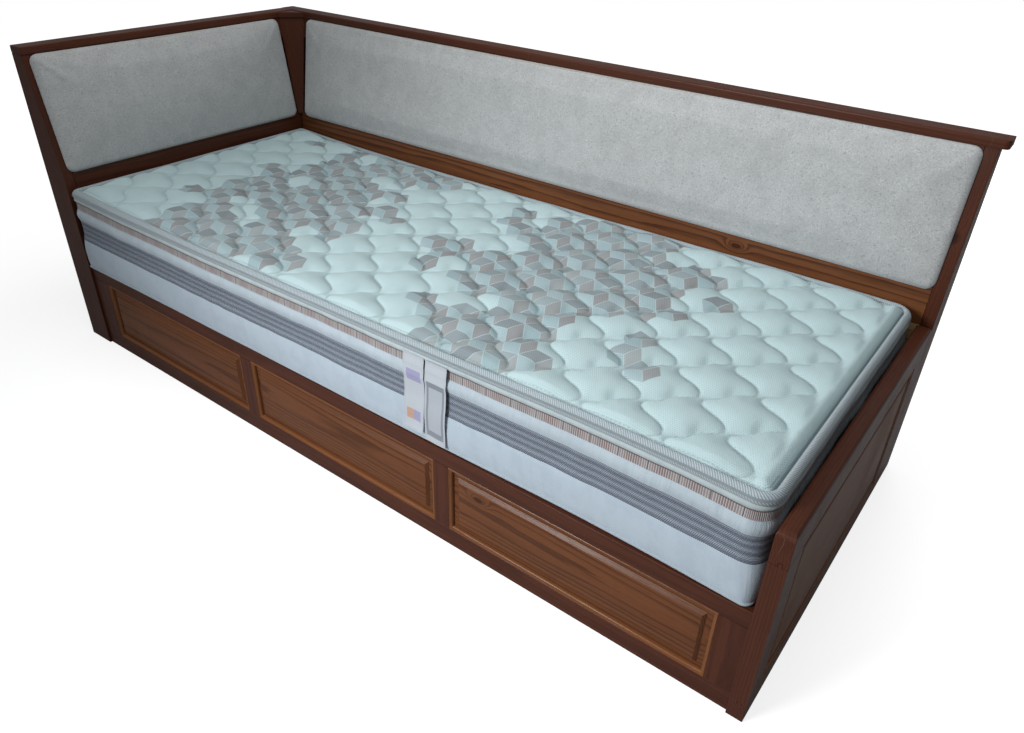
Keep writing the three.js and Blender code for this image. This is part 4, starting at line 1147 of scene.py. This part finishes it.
def makeBlocks():
    # print of blocks: each honeycomb cell is cut into three rhombs; Chance is one random number for a cell
    tree, n, given, out = newEffect(
        "blockPrint", {"Place": zero, "Pitch": 0.066},
        {"Chance": 0.0, "Middle": zero, "Sector": 0.0, "Tone": 0.0, "Line": 0.0},
    )
    cells = n.effect(hexCells, Place=given["Place"], Pitch=given["Pitch"])
    # whole numbers for each cell: two a unit along, and two over the root of three up
    shifted = n.vector("ADD", cells["Cell"], (0.25, 0.25, 0.0))
    whole = n.vector("FLOOR", n.scaled(shifted, (2.0, 1.1547005, 1.0)))
    x, y, _ = n.parts(cells["Local"])
    thirds = n.fraction(n.math("ARCTAN2", x, y) / fullTurn + 1.0) * 3.0
    sector = n.math("FLOOR", thirds)
    seed = n.vector("ADD", whole, n.joined(0.0, 0.0, sector + 5.0))
    fromRay = n.fromMiddle(thirds + 0.5) * (fullTurn / 3) * n.length(cells["Local"])
    n.put(out, "Chance", n.wires("ShaderNodeTexWhiteNoise", Vector=whole)["Value"])
    n.put(out, "Middle", n.scaled(cells["Cell"], given["Pitch"]))
    n.put(out, "Sector", sector)
    n.put(out, "Tone", n.wires("ShaderNodeTexWhiteNoise", Vector=seed)["Value"])
    n.put(out, "Line", n.ramp(n.math("MINIMUM", fromRay, cells["Edge"]), 0.006, 0.02, 1.0, 0.0))
    return tree


blocks = makeBlocks()


def knitHeight(n, vector, pitch):
    # small round dimples on a honeycomb
    cells = n.effect(hexCells, Place=vector, Pitch=pitch)
    return n.ramp(cells["Edge"], 0.05, 0.42)


def makeQuiltTicking():
    # knit with printed blocks; painted shade in the knit's dimples, along the creases of the sewn lines and
    # in the groove at the low end; darker thread at the stitches
    c = ticking
    sheen = {"Sheen_Weight": 0.1, "Sheen_Roughness": 0.5, "Specular_IOR_Level": 0.15}
    material, n, shader = newMaterial("quiltTicking", 0.85, **sheen)
    at = n.place()
    x, y, _ = n.parts(at)
    form, _, edge = n.parts(n.given("lattice"))
    knit = knitHeight(n, at, c["knitPitch"])
    printed = n.effect(blocks, Place=n.turned(at, c["turn"]), Pitch=c["hexPitch"])
    middle = n.turned(printed["Middle"], -c["turn"])
    ragged = n.parts(middle)[0] + benchMiddle[0] * mm + (n.noise(middle, 4.5, 1.0) - 0.5) * 0.2
    cover = 0.0
    for low, high, soft, share in c["printed"]:
        band = n.ramp(ragged, low - soft, low + soft) * n.ramp(ragged, high - soft, high + soft, 1.0, 0.0)
        cover = n.math("MAXIMUM", cover, band * share)
    inside = n.math("LESS_THAN", printed["Chance"], cover)
    tone = n.mix(printed["Sector"] > 0.5, c["taupe"], c["blue"])
    tone = n.mix(printed["Sector"] > 1.5, tone, c["grey"])
    tone = n.mix(n.ramp(printed["Tone"], 0.3, 1.0, 0.0, 0.35, smooth=False), tone, c["pale"])
    tone = n.mix(printed["Line"] * 0.8, tone, c["pale"])
    tone = n.mix(n.ramp(knit, 0.0, 1.0, 0.0, 0.12), tone, c["pale"])
    # darker towards the middle of each knit dimple, mixed towards the shade colour: painted shade
    base = n.mix(n.ramp(knit, 0.0, 1.0, 0.0, 0.45), c["white"], c["shade"])
    colour = n.mix(inside * 0.88, base, tone)
    # painted shade along the creases of the sewn lines, where form is near zero
    colour = n.mix(n.ramp(form, 0.0, 0.34, 0.55, 0.0), colour, (0.2, 0.27, 0.265))
    # painted shade in the groove beside the tape at the low end
    colour = n.mix(n.ramp(abs(x - c["endGroove"]), 0.0015, 0.005, 0.75, 0.0), colour, (0.1, 0.13, 0.14))
    stitch = n.fraction(x / c["stitch"]) < c["stitchShare"]
    sewn = n.ramp(abs(edge - c["stitchIn"]), 0.0006, 0.0012, 1.0, 0.0) * (y < c["stitchUpTo"])
    n.put(shader, "Base Color", n.mix(stitch * sewn * 0.3, colour, (0.2, 0.25, 0.27)))
    tugs = n.noise(at, 130.0, 3.0, 0.6) * n.ramp(form, 0.15, 0.6, 1.0, 0.0)
    n.bump(shader, 0.7, 0.0016, knit * -0.4 + tugs * 0.5 - sewn * 0.6)
    return material


def makePlainTicking(name, colour, shade, pitch, gathers=0.4):
    # knitted border cloth: honeycomb dimples with painted shade in their middles, darker marbling as a random
    # tone, and faint upright gathers
    material, n, shader = newMaterial(name, 0.85, Sheen_Weight=0.12, Specular_IOR_Level=0.25)
    place = n.given()
    knit = knitHeight(n, place, pitch)
    pulls = n.noise(n.scaled(place, (70.0, 9.0, 1.0)), 1.0, 3.0, 0.55)
    marble = n.noise(n.scaled(place, (26.0, 20.0, 1.0)), 1.0, 4.0, 0.62)
    # the middle of each knit dimple is painted darker: painted shade
    shaded = n.mix(n.ramp(knit, 0.0, 1.0, 0.0, 0.35), colour, shade)
    n.put(shader, "Base Color", n.mix(n.ramp(marble, 0.45, 0.62, 0.0, 0.3), shaded, shade))
    n.bump(shader, 0.6, 0.0016, knit * -0.3 + pulls * (gathers * 4))
    return material


darkMeshLook = {
    "ground": (0.42, 0.48, 0.56), "yarn": (0.075, 0.085, 0.115), "pitch": (0.0034, 0.0026), "stripes": 4.0,
}


def bandLevel(n, share, low, high):
    # 0 to 1 from the start of one band of the side to the start of the next
    return n.ramp(share, sideProfile["bands"][low], sideProfile["bands"][high], smooth=False)


def makeDarkMesh():
    # open mesh: staggered short dashes of dark yarn on a pale ground, thicker in stripes
    c = darkMeshLook
    material, n, shader = newMaterial("darkMesh", 0.8, Specular_IOR_Level=0.3)
    u, v, share = n.parts(n.given())
    across, up = u / c["pitch"][0], v / c["pitch"][1]
    reach = n.fromMiddle(across + n.math("FLOOR", up) * 0.5) + n.fromMiddle(up) * 0.9
    level = bandLevel(n, share, "darkMesh", "whiteBand")
    stripe = n.fromMiddle((level + 0.17) * c["stripes"])
    yarn = n.ramp(reach - n.ramp(stripe, 0.05, 0.45, 0.46, 0.62), -0.05, 0.05, 1.0, 0.0)
    n.put(shader, "Base Color", n.mix(yarn, c["ground"], c["yarn"]))
    n.bump(shader, 0.5, 0.0015, stripe * 2.4 - yarn * 0.5)
    return material


ribbonLook = {
    "white": (0.52, 0.53, 0.54), "rose": (0.27, 0.19, 0.185), "dark": (0.05, 0.035, 0.04),
    "rib": 0.0044, "repeat": 0.056,
}


def makeRibbon():
    # gathered ribbon: upright ribs, white fading to rose brown and back along each repeat, with dark thread
    # at the top and at each repeat
    c = ribbonLook
    material, n, shader = newMaterial("ribbedRibbon", 0.6, Sheen_Weight=0.2, Specular_IOR_Level=0.4)
    u, _, share = n.parts(n.given())
    wander = n.noise(n.joined(u * 90.0, 0.0, 0.0), 1.0, 2.0) * 0.5
    rib = n.fromMiddle(u / c["rib"] + wander)
    turn = n.fraction(u / c["repeat"])
    middle = 1.0 - abs(turn - 0.5) * 2.0
    colour = n.mix(n.ramp(rib, 0.06, 0.2) * n.ramp(middle, 0.1, 0.8, 0.7, 1.0), c["white"], c["rose"])
    level = bandLevel(n, share, "ribbon", "knitRoll")
    loops = n.ramp(level, 0.1, 0.2, 1.0, 0.0) * n.ramp(rib, 0.2, 0.3)
    colour = n.mix(loops * 0.6, colour, c["rose"])
    thread = n.math("MAXIMUM", n.ramp(level, 0.9, 0.95), n.ramp(abs(turn - 0.02), 0.012, 0.02, 1.0, 0.0))
    n.put(shader, "Base Color", n.mix(thread * 0.75, colour, c["dark"]))
    n.bump(shader, 0.8, 0.0012, rib * 2.0)
    return material


def makeTwill(name, light, dark, pitch, lean):
    # slanted ridges of a twill tape
    material, n, shader = newMaterial(name, 0.62, Sheen_Weight=0.15, Specular_IOR_Level=0.35)
    u, v, _ = n.parts(n.given())
    ridge = n.fromMiddle(u / pitch + v * lean)
    n.put(shader, "Base Color", n.mix(n.ramp(ridge, 0.14, 0.36), light, dark))
    n.bump(shader, 0.7, 0.0009, ridge * -2.0)
    return material


sideMaterials = [
    makePlainTicking("lowerTicking", (0.50, 0.58, 0.66), (0.40, 0.47, 0.55), 0.0034),
    makeDarkMesh(),
    makePlainTicking("whiteTicking", (0.50, 0.57, 0.63), (0.38, 0.45, 0.51), 0.0036, 0.9),
    makeRibbon(),
    makePlainTicking("rollTicking", (0.52, 0.59, 0.61), (0.38, 0.45, 0.47), 0.003, 0.5),
]
makeMattressSide(sideMaterials)
makeQuilt(makeQuiltTicking())
twill = makeTwill("twillTape", (0.46, 0.53, 0.56), (0.26, 0.3, 0.335), 0.0046, 9.0)
cordTwill = makeTwill("cordTape", (0.5, 0.57, 0.63), (0.36, 0.42, 0.49), 0.003, 4.0)
makeTape("topPiping", 10.5, 44, 466.5, 11.5, 7.0, twill, twist=0.5)
makeTape("bottomPiping", 4.0, 21, 260.0, 3.4, 3.2, cordTwill, lift=0.0, steps=10)


tags = {
    # left and right edge along the bed, how far down it hangs (mm), and its outward gap from the border
    "whiteTag": {"span": (1338.0, 1392.0), "bottom": 279.0, "gap": 2.6, "curl": 5.0, "phase": 0.4},
    "greyTag": {"span": (1396.0, 1450.0), "bottom": 267.0, "gap": 3.6, "curl": 2.0, "phase": 2.1},
    "top": 456.0, "thick": 0.5, "slack": 2.0,    # the seam's height, thickness, what the waves take up, mm
    "face": (54.0, 180.0),    # width and length that the hem and the border are drawn to, mm
    # the side that they lie against: (height share, place from the front, mm)
    "border": [(0.0, 6.0), (0.3, 5.2), (0.4, 6.2), (0.5, 8.0), (0.66, 8.0), (0.72, 6.2), (0.8, 8.5),
               (0.95, 9.0)],
}


def makeTag(name, span, bottom, gap, curl, phase, material):
    # a cloth tag sewn in under the tape: it follows the border down, stands off by gap plus slow waves,
    # and its end curls out
    columns, rows = 15, 70
    u, v = np.meshgrid(np.linspace(0, 1, columns), np.linspace(0, 1, rows))
    x = span[0] + u * (span[1] - span[0]) + 1.5 * np.sin(3.0 * v + phase)
    z = tags["top"] + (bottom - tags["top"]) * v
    share = (z - mattress["bottom"]) / (mattress["top"] - mattress["bottom"])
    side = np.interp(share, *np.array(tags["border"]).T)
    wave = 1.0 * np.sin(2 * np.pi * u * 0.8 + phase + 2.2 * v) * v + 0.7 * np.sin(9.0 * v + phase)
    lift = gap * np.clip(v / 0.12, 0.35, 1) + curl * np.clip((v - 0.82) / 0.18, 0, 1) ** 2 + wave
    y = side - smoothTable(x, mattress["bow"]) - np.maximum(lift, 0.9)
    front = np.stack([x, y, z], -1).reshape(-1, 3)
    back = front + [0.0, tags["thick"], 0.0]
    loop = borderLoop(rows, columns)
    base = rows * columns
    grid = gridFaces(rows, columns)
    faces = [grid, grid[:, ::-1] + base, bridgeFaces(loop + base, loop)]
    place = np.stack([u, v, np.zeros_like(u)], -1).reshape(-1, 3)
    mesh = meshOf(name, np.concatenate([front, back]), faces, np.concatenate([place, place]))
    faceOutwards(mesh)
    piece = addPiece(name, mesh, [material], "lift_base")
    mesh.set_sharp_from_angle(angle=np.radians(50))


def makeTagCloth(name, framed):
    # satin tag: fine weave, a hem line round the edge; the framed one has a grey border round a bare field,
    # the other one two plain coloured fields
    material, n, shader = newMaterial(name, 0.5, Specular_IOR_Level=0.3, Sheen_Weight=0.1)
    u, v, _ = n.parts(n.given())
    weave = n.noise(n.scaled(n.place(), (2600.0, 900.0, 900.0)), 1.0, 1.0)
    fromSide, fromEnd = (n.math("MINIMUM", way, 1.0 - way) for way in (u, v))
    fromEdge = n.math("MINIMUM", fromSide * tags["face"][0], fromEnd * tags["face"][1])
    colour = n.mix(n.ramp(weave, 0.3, 0.7, 0.0, 0.25), (0.52, 0.55, 0.6), (0.4, 0.43, 0.48))
    colour = n.mix(n.ramp(abs(fromEdge - 2.6), 0.3, 0.7, 0.35, 0.0), colour, (0.3, 0.33, 0.38))
    if framed:
        grey = (v > 0.24) * (v < 0.93) * n.ramp(fromEdge, 4.0, 4.6)
        ring = grey * n.ramp(fromEdge, 9.0, 9.6, 1.0, 0.0)
        ends = grey * n.math("MAXIMUM", v < 0.31, v > 0.86)
        colour = n.mix(grey * 0.45, colour, (0.34, 0.37, 0.42))
        colour = n.mix(n.math("MAXIMUM", ring, ends) * 0.8, colour, (0.2, 0.22, 0.26))
    else:
        across, upper, lower = abs(u - 0.5) < 0.34, abs(v - 0.27) < 0.075, abs(v - 0.8) < 0.07
        colour = n.mix(across * n.math("MAXIMUM", upper, lower) * 0.75, colour, (0.3, 0.27, 0.5))
        colour = n.mix(across * lower * (u < 0.5) * 0.8, colour, (0.6, 0.34, 0.2))
    n.put(shader, "Base Color", colour)
    n.bump(shader, 0.3, 0.0004, weave)
    return material


makeTag("whiteTag", **tags["whiteTag"], material=makeTagCloth("whiteTagCloth", False))
makeTag("greyTag", **tags["greyTag"], material=makeTagCloth("greyTagCloth", True))
print("mattress done")


# floor, light and background

studio = {
    "floor": 6.5, "worldSeen": 1.0, "worldLight": 0.16, "glossSeen": 0.12, "spotCone": 60.0,
    "glow": (1.3, 4.0, 0.8, 1.0),    # between two distances the floor's glow rises from one value to another
    "lamps": {
        # place, aim, size, power, colour; one size makes a spot, two make a panel
        "windowLight": ((-0.6, -3.0, 1.9), (0.75, 0.0, 0.25), 0.6, 405.0, (0.96, 0.99, 1.0)),
        "roomLight": ((0.3, -0.35, 2.8), (-0.4, 0.0, 0.4), (1.6, 1.2), 11.0, (1.0, 1.0, 0.92)),
        "ceilingLight": ((0.5, 0.0, 3.2), (0.4, 0.0, 0.3), (2.2, 1.4), 21.0, (0.93, 0.98, 1.0)),
        "rearLight": ((0.2, 3.3, 1.7), (0.0, 0.4, 0.4), (2.4, 1.6), 48.0, (1.0, 0.99, 0.97)),
    },
}


def makeWorld():
    # white where the camera looks, dim where it lights
    s = studio
    world = bpy.data.worlds.new("paleRoom")
    bpy.context.scene.world = world
    world.use_nodes = True
    n = Nodes(world.node_tree)
    back = world.node_tree.nodes["Background"]
    path = n.wires("ShaderNodeLightPath")
    seen = n.math("MAXIMUM", path["Is Camera Ray"], path["Is Transmission Ray"])
    seen = n.math("MAXIMUM", seen, path["Is Glossy Ray"] * s["glossSeen"])
    n.put(back, "Color", n.mix(seen, (0.93, 0.97, 1.0), (1.0, 1.0, 1.0)))
    n.put(back, "Strength", n.ramp(seen, 0.0, 1.0, s["worldLight"], s["worldSeen"], smooth=False))


def makeFloor():
    s = studio
    points = np.array([[-1, -1], [1, -1], [1, 1], [-1, 1]], float) * s["floor"] / mm
    corners = np.column_stack([points + benchMiddle[:2], np.full(4, -0.5)])
    material, n, shader = newMaterial("paleFloor", 0.9, Specular_IOR_Level=0.1)
    at = n.place()
    n.put(shader, "Base Color", n.mix(n.noise(at, 2.0, 3.0), (0.43, 0.43, 0.43), (0.47, 0.47, 0.47)))
    path = n.wires("ShaderNodeLightPath")
    shader.inputs["Emission Color"].default_value = (1, 1, 1, 1)
    away = n.length(n.scaled(at, (1.0, 1.0, 0.0)))
    glow = path["Is Camera Ray"] * n.ramp(away, *s["glow"])
    gloss = path["Is Glossy Ray"] * (s["glossSeen"] * 0.4)
    n.put(shader, "Emission Strength", n.math("MAXIMUM", glow, gloss))
    mesh = meshOf("paleFloor", corners, [[[0, 1, 2, 3]]])
    floor = bpy.data.objects.new("paleFloor", mesh)
    bpy.context.scene.collection.objects.link(floor)
    mesh.materials.append(material)


def makeLamp(name, place, aim, size, power, colour):
    if isinstance(size, tuple):
        data = bpy.data.lights.new(name, "AREA")
        data.shape = "RECTANGLE"
        data.size, data.size_y = size
    else:
        data = bpy.data.lights.new(name, "SPOT")
        data.spot_size, data.spot_blend = np.radians(studio["spotCone"]), 1.0
        data.shadow_soft_size = size
    data.energy = power
    data.color = colour
    light = bpy.data.objects.new(name, data)
    bpy.context.scene.collection.objects.link(light)
    light.location = place
    light.visible_glossy = name == "windowLight"
    light.rotation_euler = (Vector(aim) - Vector(place)).to_track_quat("-Z", "Y").to_euler()


makeWorld()
makeFloor()
for name, values in studio["lamps"].items():
    makeLamp(name, *values)
bpy.context.scene.view_settings.view_transform = "Standard"
print("studio done")
